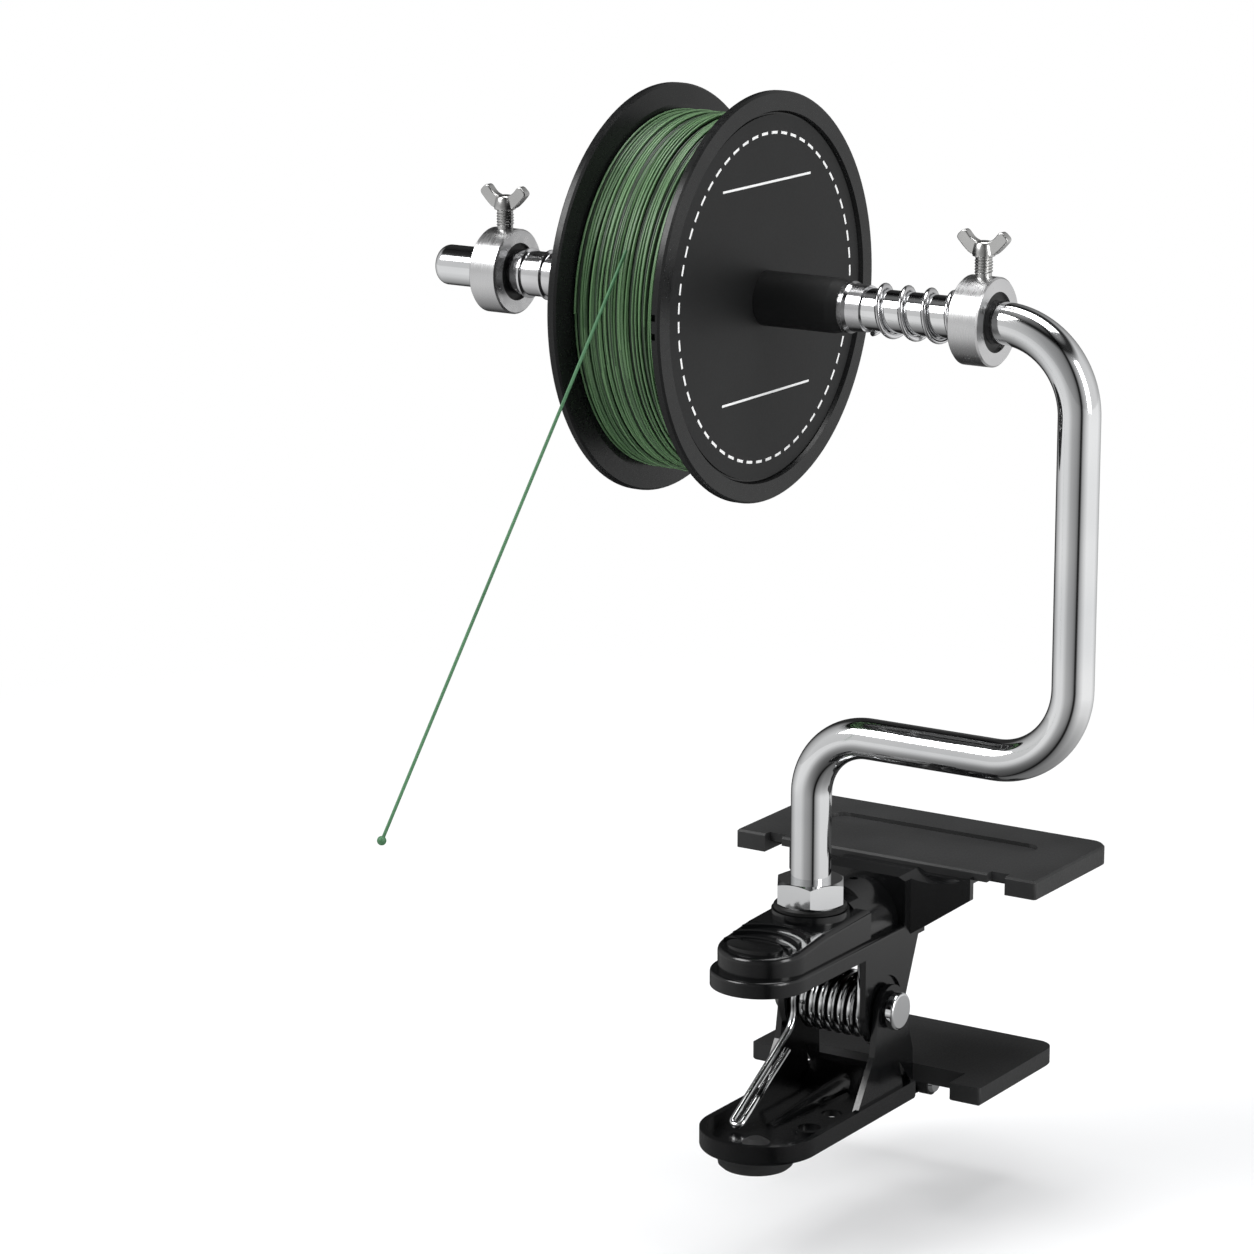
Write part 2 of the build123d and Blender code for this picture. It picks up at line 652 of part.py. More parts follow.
nut_z = seat_z + face_gap + washer_thick
with BuildPart() as seat_washer:
    with BuildSketch(Plane.XY.offset(seat_z + face_gap)):
        with Locations((0, rod_y)):
            Circle(washer_dia / 2)
            Circle(rod_radius, mode=Mode.SUBTRACT)
    extrude(amount=washer_thick)
    chamfer(seat_washer.edges().group_by(Axis.Z)[-1].filter_by(
        lambda e: e.length > math.tau * rod_radius + 1), length=0.5)
seat_washer.part.label = "seat_washer"
export_step(seat_washer.part, "parts/seat_washer.step")


roof_z = flange_z + hollow_rise
lock_nut_z = roof_z - lock_nut_height
# The upper nut is tight on the rod; the lower one is held by its flats between the lever's walls.
for name, base_z, height, flats, turned, bore in (
        ("rod_nut", nut_z, nut_height, nut_flats, 0, rod_radius),
        ("lock_nut", lock_nut_z, lock_nut_height, lock_nut_flats, 30, bore_radius)):
    with BuildPart() as nut:
        with BuildSketch(Plane.XY.offset(base_z)):
            with Locations((0, rod_y)):
                RegularPolygon(flats / 2, 6, major_radius=False, rotation=turned)
        extrude(amount=height)
        with BuildSketch(Plane.XZ.offset(-rod_y)):
            with BuildLine():
                Polyline((0, base_z), (flats / 2, base_z), (flats / 2 + 1.4, base_z + 0.8),
                         (flats / 2 + 1.4, base_z + height - 0.8),
                         (flats / 2 - 0.2, base_z + height), (0, base_z + height), close=True)
            make_face()
        revolve(axis=Axis((0, rod_y, 0), (0, 0, 1)), mode=Mode.INTERSECT)
        with Locations((0, rod_y, base_z + height)):
            Hole(bore, depth=height)
    nut.part.label = name
    export_step(nut.part, f"parts/{name}.step")

# ---------------------------------------------------------------- set collars
for side, x in (("left", left_collar_x), ("right", right_collar_x)):
    # turned ring with small chamfers and a tapped hole on top
    with BuildPart() as collar:
        with BuildSketch(across(x)):
            Circle(collar_dia / 2)
            Circle(liner_dia / 2, mode=Mode.SUBTRACT)
        extrude(amount=collar_width / 2, both=True)
        chamfer(collar.edges().filter_by(GeomType.CIRCLE).filter_by(
            lambda e: e.radius > liner_dia / 2 + 1), length=0.4)
        with Locations((x, rod_y, spool_z + collar_dia / 2)):
            Hole(wing_screw_dia / 2 + running_fit, depth=collar_dia / 2)
    collar.part.label = f"{side}_collar"
    export_step(collar.part, f"parts/{side}_collar.step")

    # black bush inside it, set back from its right face
    with BuildPart() as liner:
        with BuildSketch(across(x - collar_width / 2)):
            Circle(liner_dia / 2)
            Circle(bore_radius, mode=Mode.SUBTRACT)
        extrude(amount=collar_width - liner_recess)
        with Locations((x, rod_y, spool_z + collar_dia / 2)):
            Hole(wing_screw_dia / 2 + running_fit, depth=collar_dia / 2)
    liner.part.label = f"{side}_liner"
    export_step(liner.part, f"parts/{side}_liner.step")

    # set screw with a tapered hub and two upswept wings
    hub_z = spool_z + wing_shank_top
    with BuildPart() as wing_screw:
        with BuildSketch(Plane.XZ.offset(-rod_y)):
            with BuildLine():
                Polyline((x, spool_z + rod_radius + face_gap),
                         (x + 1.2, spool_z + rod_radius + face_gap),
                         (x + wing_screw_dia / 2, spool_z + rod_radius + face_gap + 0.8),
                         (x + wing_screw_dia / 2, hub_z), (x + 2.5, hub_z),
                         (x + 2.1, hub_z + wing_hub_height), (x, hub_z + wing_hub_height), close=True)
            make_face()
        revolve(axis=Axis((x, rod_y, 0), (0, 0, 1)))
        for hand, rounded in zip((-1, 1), wing_rounded[side]):
            corners = [(x + hand * out, hub_z + up) for out, up in wing_corners]
            with BuildSketch(Plane.XZ.offset(-rod_y)) as wing:
                with BuildLine():
                    Polyline(*corners, close=True)
                make_face()
                fillet([wing.vertices().sort_by_distance((*corners[corner], 0))[0]
                        for corner in rounded], radius=wing_round)
            extrude(amount=wing_thick / 2, both=True)
    wing_screw.part.label = f"{side}_wing_screw"
    export_step(wing_screw.part, f"parts/{side}_wing_screw.step")

# ---------------------------------------------------------------- spool
# Each flange is a disc with a raised rim on its outer face and a chamfer towards the line, and
# takes the spigot of a black stepped bush that centres the spool on the rod.
for side, face_x, inward in (("left", spool_left_x, 1), ("right", spool_right_x, -1)):
    def inside(depth, radius):
        return (face_x + inward * depth, spool_z + radius)

    with BuildPart() as flange:
        with BuildSketch(Plane.XZ.offset(-rod_y)):
            with BuildLine():
                Polyline(inside(rim_height, barrel_bore_radius),
                         inside(flange_wall, barrel_bore_radius),
                         inside(flange_wall, flange_radius - 5),
                         inside(flange_wall - 0.9, flange_radius - 0.5),
                         inside(flange_wall - 1.4, flange_radius), inside(0.5, flange_radius),
                         inside(0, flange_radius - 0.5), inside(0, flange_radius - rim_width),
                         inside(rim_height, flange_radius - rim_width - 0.5), close=True)
            make_face()
        revolve(axis=spool_axis)
        # two small notches in the right rim hold the line's end
        if side == "right":
            with Locations((face_x - flange_wall / 2, rod_y - flange_radius, spool_z + 2.2),
                           (face_x - flange_wall / 2, rod_y - flange_radius, spool_z - 2.2)):
                Box(1.3, 3.0, 1.6, mode=Mode.SUBTRACT)
    flange.part.label = f"{side}_flange"
    export_step(flange.part, f"parts/{side}_flange.step")

    with BuildPart() as bush:
        with BuildSketch(Plane.XZ.offset(-rod_y)):
            with BuildLine():
                Polyline(inside(rim_height + bush_spigot, bore_radius),
                         inside(rim_height + bush_spigot, barrel_bore_radius - 0.8),
                         inside(rim_height + bush_spigot - 0.8, barrel_bore_radius),
                         inside(rim_height, barrel_bore_radius), inside(rim_height, bush_radius),
                         inside(rim_height - bush_reach + 3, bush_radius),
                         inside(rim_height - bush_reach, bush_tip_radius),
                         inside(rim_height - bush_reach, bore_radius), close=True)
            make_face()
        revolve(axis=spool_axis)
    bush.part.label = f"{side}_bush"
    export_step(bush.part, f"parts/{side}_bush.step")

with BuildPart() as spool_barrel:
    with BuildSketch(across(spool_left_x + flange_wall)):
        Circle(barrel_radius)
        Circle(barrel_bore_radius, mode=Mode.SUBTRACT)
    extrude(amount=winding_width)
spool_barrel.part.label = "spool_barrel"
export_step(spool_barrel.part, "parts/spool_barrel.step")

with BuildPart() as label_disc:
    with BuildSketch(across(spool_right_x - rim_height)):
        Circle(label_radius)
        Circle(bush_radius, mode=Mode.SUBTRACT)
    extrude(amount=label_thick)
label_disc.part.label = "label_disc"
export_step(label_disc.part, "parts/label_disc.step")

with BuildPart() as line_core:
    with BuildSketch(across(spool_left_x + flange_wall)):
        Circle(wound_core_radius)
        Circle(barrel_radius, mode=Mode.SUBTRACT)
    extrude(amount=winding_width)
line_core.part.label = "line_core"
export_step(line_core.part, "parts/line_core.step")

winding_length = winding_width - 2 * strand_radius - 2 * winding_side_gap
winding_pitch = winding_length / winding_turns
winding_start = Vector(spool_x - winding_length / 2, rod_y, spool_z)
turns = coil_edges(winding_start, winding_radius, winding_pitch, winding_turns, 0.0)
tail = 2 * strand_radius
first_turn_dir = turns[0].tangent_at(0)
last_turn_dir = turns[-1].tangent_at(1)
print("winding's least gap:",
      round(least_gap(turns, 2 * strand_radius, math.pi * winding_radius, winding_radius / 7), 3))
with BuildPart() as line_winding:
    with BuildLine() as winding_line:
        Line(turns[0].position_at(0) - first_turn_dir * tail, turns[0].position_at(0))
        add(turns)
        Line(turns[-1].position_at(1), turns[-1].position_at(1) + last_turn_dir * tail)
    with BuildSketch(Plane(origin=turns[0].position_at(0) - first_turn_dir * tail,
                           z_dir=first_turn_dir)):
        RegularPolygon(strand_radius, 4)
    sweep(path=winding_line.wire())
line_winding.part.label = "line_winding"
export_step(line_winding.part, "parts/line_winding.step")

# ---------------------------------------------------------------- sleeve, ferrule and spring
sleeve_left_x = left_collar_x + collar_width / 2 - liner_recess
sleeve_right_x = spool_left_x + rim_height - bush_reach - face_gap
sleeve_length = sleeve_right_x - sleeve_left_x
with BuildPart() as left_sleeve:
    with BuildSketch(across(sleeve_left_x)):
        Circle(sleeve_radius)
    extrude(amount=sleeve_length)
    # two beads and a rim, each bevelled both ways
    for bead_x in (4.4, 4.4 + bead_pitch, sleeve_length - bead_half):
        with BuildSketch(Plane.XZ.offset(-rod_y)):
            with BuildLine():
                Polyline((sleeve_left_x + bead_x - bead_half, spool_z + 5.2),
                         (sleeve_left_x + bead_x - bead_half, spool_z + sleeve_radius),
                         (sleeve_left_x + bead_x - 0.25, spool_z + bead_radius),
                         (sleeve_left_x + bead_x + 0.25, spool_z + bead_radius),
                         (sleeve_left_x + bead_x + bead_half, spool_z + sleeve_radius),
                         (sleeve_left_x + bead_x + bead_half, spool_z + 5.2), close=True)
            make_face()
        revolve(axis=spool_axis)
    with BuildSketch(across(sleeve_left_x)):
        Circle(bore_radius)
    extrude(amount=sleeve_length, mode=Mode.SUBTRACT)
left_sleeve.part.label = "left_sleeve"
export_step(left_sleeve.part, "parts/left_sleeve.step")

ferrule_left_x = spool_right_x - rim_height + bush_reach + face_gap
with BuildPart() as right_ferrule:
    with BuildSketch(Plane.XZ.offset(-rod_y)):
        with BuildLine():
            Polyline((ferrule_left_x, spool_z + bore_radius), (ferrule_left_x, spool_z + bead_radius),
                     (ferrule_left_x + sleeve_rim, spool_z + bead_radius),
                     (ferrule_left_x + sleeve_rim + 0.8, spool_z + sleeve_radius + 0.2),
                     (ferrule_left_x + ferrule_length, spool_z + sleeve_radius),
                     (ferrule_left_x + ferrule_length, spool_z + bore_radius), close=True)
        make_face()
    revolve(axis=spool_axis)
right_ferrule.part.label = "right_ferrule"
export_step(right_ferrule.part, "parts/right_ferrule.step")

spring_left_x = ferrule_left_x + ferrule_length + spring_wire / 2 + 0.05
spring_right_x = right_collar_x - collar_width / 2 - spring_wire / 2 - 0.05
spring_pitch = (spring_right_x - spring_left_x) / spring_turns
spring_radius = bore_radius + 0.05 + spring_wire / 2
spring_coils = coil_edges(Vector(spring_left_x, rod_y, spool_z), spring_radius, spring_pitch,
                          spring_turns, -math.pi / 2)
print("tension spring's least gap:",
      round(least_gap(spring_coils, spring_wire, math.pi * spring_radius, spring_radius / 7), 3))
with BuildPart() as tension_spring:
    with BuildLine() as tension_line:
        add(spring_coils)
    with BuildSketch(Plane(origin=spring_coils[0].position_at(0),
                           z_dir=spring_coils[0].tangent_at(0))):
        RegularPolygon(spring_wire / 2, 5)
    sweep(path=tension_line.wire())
tension_spring.part.label = "tension_spring"
export_step(tension_spring.part, "parts/tension_spring.step")

# ---------------------------------------------------------------- free line
line_top = Vector(spool_x + 1.5, rod_y, spool_z) + Vector(
    0, -math.cos(math.radians(21)), math.sin(math.radians(21))) * (winding_radius + strand_radius + 0.9)
line_end = line_top + Vector(*line_drop)
line_dir = (line_end - line_top).normalized()
print("free line's length:", round((line_end - line_top).length, 2))
with BuildPart() as free_line:
    with BuildSketch(Plane(origin=line_top, z_dir=line_dir)):
        Circle(line_dia / 2)
    extrude(amount=(line_end - line_top).length)
free_line.part.label = "free_line"
export_step(free_line.part, "parts/free_line.step")

with BuildPart() as line_knot:
    with Locations(line_end):
        Sphere(1.1)
    with BuildSketch(Plane(origin=line_end, z_dir=-line_dir)):
        Circle(line_dia / 2)
    extrude(amount=1.2, mode=Mode.SUBTRACT)
line_knot.part.label = "line_knot"
export_step(line_knot.part, "parts/line_knot.step")
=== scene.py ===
import math
import random

import bmesh
import bpy
from mathutils import Matrix, Vector


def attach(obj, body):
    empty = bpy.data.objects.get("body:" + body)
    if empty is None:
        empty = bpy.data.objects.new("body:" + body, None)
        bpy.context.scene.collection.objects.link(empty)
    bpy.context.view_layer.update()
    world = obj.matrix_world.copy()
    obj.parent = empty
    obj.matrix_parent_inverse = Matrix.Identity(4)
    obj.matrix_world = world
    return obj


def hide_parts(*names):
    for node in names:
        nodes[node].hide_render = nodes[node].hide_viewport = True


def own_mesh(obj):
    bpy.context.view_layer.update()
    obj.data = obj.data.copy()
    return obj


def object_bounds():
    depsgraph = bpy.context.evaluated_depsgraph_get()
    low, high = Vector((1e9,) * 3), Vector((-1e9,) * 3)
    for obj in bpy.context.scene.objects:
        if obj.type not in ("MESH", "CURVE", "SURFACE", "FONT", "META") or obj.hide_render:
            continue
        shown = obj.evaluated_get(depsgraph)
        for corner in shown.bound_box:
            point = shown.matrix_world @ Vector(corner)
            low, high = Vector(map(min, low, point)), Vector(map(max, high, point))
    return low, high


# Fishing line winder: a spring clamp, a bent rod and a turning spool of braided line. The frame is
# the CAD model's, in metres; sizes below are in millimetres, and MM turns them into metres.
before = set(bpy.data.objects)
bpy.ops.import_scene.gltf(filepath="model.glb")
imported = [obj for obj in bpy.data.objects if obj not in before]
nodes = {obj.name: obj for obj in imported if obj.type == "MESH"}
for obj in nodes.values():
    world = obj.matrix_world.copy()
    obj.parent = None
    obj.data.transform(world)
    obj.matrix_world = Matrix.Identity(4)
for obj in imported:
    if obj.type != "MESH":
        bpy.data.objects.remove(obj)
cad_box = [list(corner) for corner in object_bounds()]
MM = 0.001


# ------------------------------------------------------------------ levers
# Two moulded levers of glossy black nylon, the upper one with the grip and the rod's seat, the
# lower one a tray. Their mould was polished, so the surface only drifts a little in shade.
def feed(tree, socket, value):
    """Gives a socket a plain value, or links another node's output to it."""
    if isinstance(value, bpy.types.NodeSocket):
        tree.links.new(value, socket)
    else:
        socket.default_value = value


def noise(tree, place, scale, detail):
    node = tree.nodes.new("ShaderNodeTexNoise")
    feed(tree, node.inputs["Vector"], place)
    feed(tree, node.inputs["Scale"], scale)
    node.inputs["Detail"].default_value = detail
    return node.outputs["Fac"]


def span(tree, value, low, high, start=0.0, end=1.0):
    """Carries a value from the stretch start to end over to the stretch low to high."""
    node = tree.nodes.new("ShaderNodeMapRange")
    for label, setting in (("Value", value), ("From Min", start), ("From Max", end), ("To Min", low),
                           ("To Max", high)):
        feed(tree, node.inputs[label], setting)
    return node.outputs[0]


def mix(tree, share, first, second):
    node = tree.nodes.new("ShaderNodeMix")
    node.data_type = "RGBA"
    for index, value in ((0, share), (6, first), (7, second)):
        feed(tree, node.inputs[index], value)
    return node.outputs[2]


def bump(tree, height, strength, depth):
    node = tree.nodes.new("ShaderNodeBump")
    for label, value in (("Height", height), ("Strength", strength), ("Distance", depth)):
        feed(tree, node.inputs[label], value)
    return node.outputs[0]


def node_group(name, inputs, outputs):
    """A shader node group with named sockets, and the sockets of its two ends."""
    group = bpy.data.node_groups.new(name, "ShaderNodeTree")
    for direction, sockets in (("INPUT", inputs), ("OUTPUT", outputs)):
        for label, kind in sockets.items():
            group.interface.new_socket(name=label, in_out=direction, socket_type=f"NodeSocket{kind}")
    return group, group.nodes.new("NodeGroupInput").outputs, group.nodes.new("NodeGroupOutput").inputs


def place_group(tree, group, settings):
    """A group placed in a material with its own values."""
    node = tree.nodes.new("ShaderNodeGroup")
    node.node_tree = group
    for label, value in settings.items():
        feed(tree, node.inputs[label], value)
    return node.outputs


def new_material(name):
    mat = bpy.data.materials.new(name)
    mat.use_nodes = True
    tree = mat.node_tree
    tree.nodes.clear()
    out = tree.nodes.new("ShaderNodeOutputMaterial")
    shader = tree.nodes.new("ShaderNodeBsdfPrincipled")
    tree.links.new(shader.outputs[0], out.inputs[0])
    return mat, tree, shader


DRIFT = 45.0     # how many times per metre the shade comes and goes
grain_group, grain_in, grain_out = node_group(
    "surface_grain",
    {"Place": "Vector", "Stretch": "Vector", "Grain": "Float", "Dark": "Color", "Light": "Color",
     "Smooth": "Float", "Rough": "Float", "Strength": "Float", "Depth": "Float"},
    {"Color": "Color", "Roughness": "Float", "Normal": "Vector"})
stretched = grain_group.nodes.new("ShaderNodeMapping")
feed(grain_group, stretched.inputs["Vector"], grain_in["Place"])
feed(grain_group, stretched.inputs["Scale"], grain_in["Stretch"])
fine = noise(grain_group, stretched.outputs[0], grain_in["Grain"], 4.0)
broad = noise(grain_group, grain_in["Place"], DRIFT, 2.0)
feed(grain_group, grain_out["Color"],
     mix(grain_group, span(grain_group, broad, 0.0, 1.0, 0.3, 0.7), grain_in["Dark"], grain_in["Light"]))
feed(grain_group, grain_out["Roughness"],
     span(grain_group, fine, grain_in["Smooth"], grain_in["Rough"], 0.25, 0.75))
feed(grain_group, grain_out["Normal"],
     bump(grain_group, fine, grain_in["Strength"], grain_in["Depth"]))


def finish(name, dark, light, rough, metal=0.0, grain=900.0, stretch=(1.0, 1.0, 1.0), depth=0.00002,
           strength=0.15, specular=0.5):
    """A finish whose colour drifts from dark to light and whose roughness runs over rough."""
    mat, tree, shader = new_material(name)
    surface = place_group(tree, grain_group, {
        "Place": tree.nodes.new("ShaderNodeTexCoord").outputs["Object"], "Stretch": stretch,
        "Grain": grain, "Dark": dark, "Light": light, "Smooth": rough[0], "Rough": rough[1],
        "Strength": strength, "Depth": depth})
    for label, output in (("Base Color", "Color"), ("Roughness", "Roughness"), ("Normal", "Normal")):
        tree.links.new(surface[output], shader.inputs[label])
    shader.inputs["Metallic"].default_value = metal
    shader.inputs["Specular IOR Level"].default_value = specular
    return mat


def dress(mat, *names):
    """Gives the named nodes of the frame one material."""
    for name in names:
        nodes[name].data.materials.clear()
        nodes[name].data.materials.append(mat)


lever_black = finish("lever_black", (0.0022, 0.0023, 0.0025, 1), (0.0045, 0.0047, 0.005, 1),
                     (0.13, 0.22), strength=0.04, specular=0.45)
dress(lever_black, "upper_lever", "lower_lever")


# ------------------------------------------------------------------ jaw pads and foot
# Matt black pads of soft plastic, pressed in a grained mould: two jaw pads with small round edges,
# held by screws and by a hinge pin, and a bumper pushed into the tray's nose.
def ease(obj, width, weld=False):
    """Small round edges that catch the light."""
    if weld:
        merge = obj.modifiers.new("weld", "WELD")
        merge.merge_threshold = 0.000002
    bevel = obj.modifiers.new("ease", "BEVEL")
    bevel.width = width * MM
    bevel.segments = 2
    bevel.limit_method = "ANGLE"
    bevel.angle_limit = math.radians(38)
    bevel.harden_normals = True


PAD_EDGE = 0.3
pad_black = finish("pad_black", (0.013, 0.0132, 0.0133, 1), (0.022, 0.0222, 0.0225, 1), (0.45, 0.6),
                   grain=2200.0, depth=0.00003, strength=0.25, specular=0.42)
dress(pad_black, "upper_pad", "lower_pad", "foot")
for pad_name in ("upper_pad", "lower_pad"):
    ease(nodes[pad_name], PAD_EDGE, weld=True)

# ------------------------------------------------------------------ pins and screws of the clamp
# A chromed rivet through both levers with a zinc-plated ring on its far end, a chromed hinge pin
# in the lower pad, two zinc-plated screws in the upper one, and a black tube round the rivet.
chrome = finish("chrome", (0.70, 0.71, 0.72, 1), (0.80, 0.805, 0.81, 1), (0.06, 0.10), 1.0,
                grain=160.0, depth=0.00001, strength=0.02)
screw_steel = finish("screw_steel", (0.42, 0.42, 0.415, 1), (0.60, 0.60, 0.59, 1), (0.2, 0.3), 1.0,
                     grain=700.0, strength=0.08)
bore_black = finish("bore_black", (0.003, 0.003, 0.003, 1), (0.008, 0.008, 0.008, 1), (0.35, 0.5),
                    grain=1500.0, specular=0.3)
dress(chrome, "pivot_pin", "lower_pad_pin")
dress(screw_steel, "pad_screws", "pivot_clip")
dress(bore_black, "pivot_bush")


# ------------------------------------------------------------------ torsion spring
# Bright spring wire wound in seven coils round the rivet's tube. One end stands up under the upper
# lever; the other runs down as a leg, folds back on itself and presses on the tray.
def show(name, data):
    obj = bpy.data.objects.new(name, data)
    bpy.context.scene.collection.objects.link(obj)
    return obj


def tube(name, path, radius, sides, mat):
    """A round tube along a path, with a UV map that runs in metres along it and once around.
    Its radius is one number, or a list with one for each point."""
    points = [point * MM for point in path]
    count = len(points)
    radii = radius if isinstance(radius, list) else [radius] * count
    builder = bmesh.new()
    uv_layer = builder.loops.layers.uv.new("plait")
    tangents = [(points[min(i + 1, count - 1)] - points[max(i - 1, 0)]).normalized() for i in range(count)]
    normal = tangents[0].orthogonal().normalized()
    rings, lengths = [], []
    travelled = 0.0
    for i in range(count):
        if i:
            travelled += (points[i] - points[i - 1]).length
            normal = (normal - tangents[i] * normal.dot(tangents[i])).normalized()
        side = tangents[i].cross(normal)
        ring = []
        for k in range(sides):
            around = math.tau * k / sides
            outwards = normal * math.cos(around) + side * math.sin(around)
            ring.append(builder.verts.new(points[i] + outwards * (radii[i] * MM)))
        rings.append(ring)
        lengths.append(travelled)
    for i in range(count - 1):
        for k in range(sides):
            after = (k + 1) % sides
            face = builder.faces.new((rings[i][k], rings[i][after], rings[i + 1][after], rings[i + 1][k]))
            face.smooth = True
            low, high = k / sides, (k + 1) / sides
            corners = ((lengths[i], low), (lengths[i], high), (lengths[i + 1], high), (lengths[i + 1], low))
            for loop, corner in zip(face.loops, corners):
                loop[uv_layer].uv = corner
    builder.faces.new(rings[0][::-1])
    builder.faces.new(rings[-1])
    mesh = bpy.data.meshes.new(name)
    builder.normal_update()
    builder.to_mesh(mesh)
    builder.free()
    mesh.materials.append(mat)
    return show(name, mesh)


def coil_points(centre, radius, pitch, turns, first_angle, direction):
    """Points of a coil about X; angles run from +Y towards +Z."""
    count = round(turns * COIL_STEPS)
    points = []
    for i in range(count + 1):
        swept = i / count * turns * math.tau
        angle = first_angle + direction * swept
        points.append(centre + Vector((pitch * swept / math.tau, radius * math.cos(angle),
                                       radius * math.sin(angle))))
    return points


PIVOT = Vector((0.0, -40.5, -27.7))
COIL_STEPS = 40           # points in one turn
COIL_TURNS = 7
COIL_R, COIL_PITCH = 7.3, 2.7
TORSION_WIRE_R, WIRE_SIDES = 0.95, 14
TRAY_FLOOR_Z = -52.5      # the upper face of the tray's floor
LEG_LIFT = 1.23           # under the sloping leg, at its fold
LEG_OUT, LEG_DROP = 0.3, 6.1
LEG_LEAD = 3.0            # where the leg leaves its straight run for the first coil
RETURN_SHORT = 8.0        # by how much the folded wire is shorter than the leg
BOW_LIFT = 8.8
UPRIGHT_OUT = 0.35
UPRIGHT_TOP_Z = -12.85    # in the upper lever's roof

coil_start = PIVOT + Vector((-COIL_TURNS / 2 * COIL_PITCH, 0, 0))
coil = coil_points(coil_start, COIL_R, COIL_PITCH, COIL_TURNS, math.pi, -1)
leg_foot = Vector((coil_start.x, -76.0, TRAY_FLOOR_Z + TORSION_WIRE_R + LEG_LIFT))
leg_top = coil_start - Vector((0, COIL_R + LEG_OUT, LEG_DROP))
leg_dir = (leg_top - leg_foot).normalized()
lead = leg_top - leg_dir * LEG_LEAD
bow = [lead + leg_dir * (BOW_LIFT * s * (1 - s)) + (coil[0] - lead) * (s * s)
       for s in (0.15, 0.3, 0.45, 0.6, 0.75, 0.9)]
fold = Vector((2.7, 0, 0))
fold_depth = leg_dir * (fold.length / 2)
bend = [leg_foot + fold / 2 + fold / 2 * math.cos(a) - fold_depth * math.sin(a)
        for a in (math.pi * k / 10 for k in range(11))]
return_top = leg_foot + fold + leg_dir * ((leg_top - leg_foot).length - RETURN_SHORT)
straight = [leg_foot + (lead - leg_foot) * s for s in (0.25, 0.5, 0.75, 1.0)]
leg = [return_top] + bend + straight + bow
coil_end = coil[-1]
upright = [coil_end + Vector((UPRIGHT_OUT - 0.2, 0, 0.9)), coil_end + Vector((UPRIGHT_OUT, 0, 2.2)),
           Vector((coil_end.x + UPRIGHT_OUT, coil_end.y, UPRIGHT_TOP_Z))]

# The leg and the first turn go with the lower lever, about the coils' own axis, and the other turns
# stay with the upper one. The two parts share a few points, where the first is a little thinner.
SHARED, SHARED_WIRE_R = 5, 0.93
leg_path = leg + coil[:COIL_STEPS + 1 + SHARED]
leg_radii = [TORSION_WIRE_R] * (len(leg_path) - SHARED) + [SHARED_WIRE_R] * SHARED
torsion_leg = tube("torsion_leg", leg_path, leg_radii, WIRE_SIDES, chrome)
torsion_coils = tube("torsion_coils", coil[COIL_STEPS:] + upright, TORSION_WIRE_R, WIRE_SIDES, chrome)
for part, body in ((torsion_leg, "lower_jaw"), (torsion_coils, "clamp")):
    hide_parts("torsion_spring")
    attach(part, body)


# ------------------------------------------------------------------ rod, its nuts and its washer
# Round steel bar, bent three times in one plane and chromed, with a dome turned on its free end.
# Its foot stands in the upper lever between two chromed nuts, on a black stepped washer.
def arc_points(centre, radius, start, end, count=28):
    """Points in the rod's plane along an arc; angles in degrees from +X towards +Z."""
    angles = [math.radians(start + (end - start) * i / count) for i in range(count + 1)]
    return [Vector((centre[0] + radius * math.cos(a), ROD_Y, centre[1] + radius * math.sin(a)))
            for a in angles]


ROD_Y = -56.0             # the rod's plane, and so the spool's axis
AXIS_Z = 149.5            # the spool's axis
ROD_R, ROD_SIDES = 5.0, 64
FOOT_Z, FOOT_EASE = -10.0, 0.8
TIP_X, TIP_ROUND, TIP_STEPS = -107.8, 2.6, 10
BENDS = (((16.0, 29.2), 16.0, 180, 90), ((50.2, 65.2), 20.0, -90, 0), ((50.2, 129.5), 20.0, 0, 90))

rod_path = [Vector((0, ROD_Y, z)) for z in (FOOT_Z, FOOT_Z + FOOT_EASE, 0.0, 15.0)]
rod_radii = [ROD_R - FOOT_EASE] + [ROD_R] * 3
for bend_centre, bend_radius, start, end in BENDS:
    bend_points = arc_points(bend_centre, bend_radius, start, end)
    rod_path += bend_points
    rod_radii += [ROD_R] * len(bend_points)
for i in range(TIP_STEPS + 1):
    turn = math.pi / 2 * i / TIP_STEPS
    rod_path.append(Vector((TIP_X + TIP_ROUND * (1 - math.sin(turn)), ROD_Y, AXIS_Z)))
    rod_radii.append(ROD_R - TIP_ROUND + TIP_ROUND * math.cos(turn))
rod = tube("rod", rod_path, rod_radii, ROD_SIDES, chrome)
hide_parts("bent_rod")
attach(rod, "arm")
dress(chrome, "bent_rod", "rod_nut", "lock_nut")
dress(bore_black, "seat_washer")

# ------------------------------------------------------------------ set collars
# Two rings turned from aluminium, with the fine rings that the cutter leaves, each on a black
# plastic liner that slides on the rod.
LEFT_COLLAR_X, RIGHT_COLLAR_X, COLLAR_HALF = -88.9, 44.6, 3.9
collar_metal = finish("turned_collar", (0.52, 0.52, 0.525, 1), (0.66, 0.66, 0.665, 1), (0.24, 0.34), 1.0,
                      grain=420.0, stretch=(9.0, 1.0, 1.0), strength=0.1)
dress(collar_metal, "left_collar", "right_collar")
dress(bore_black, "left_liner", "right_liner")


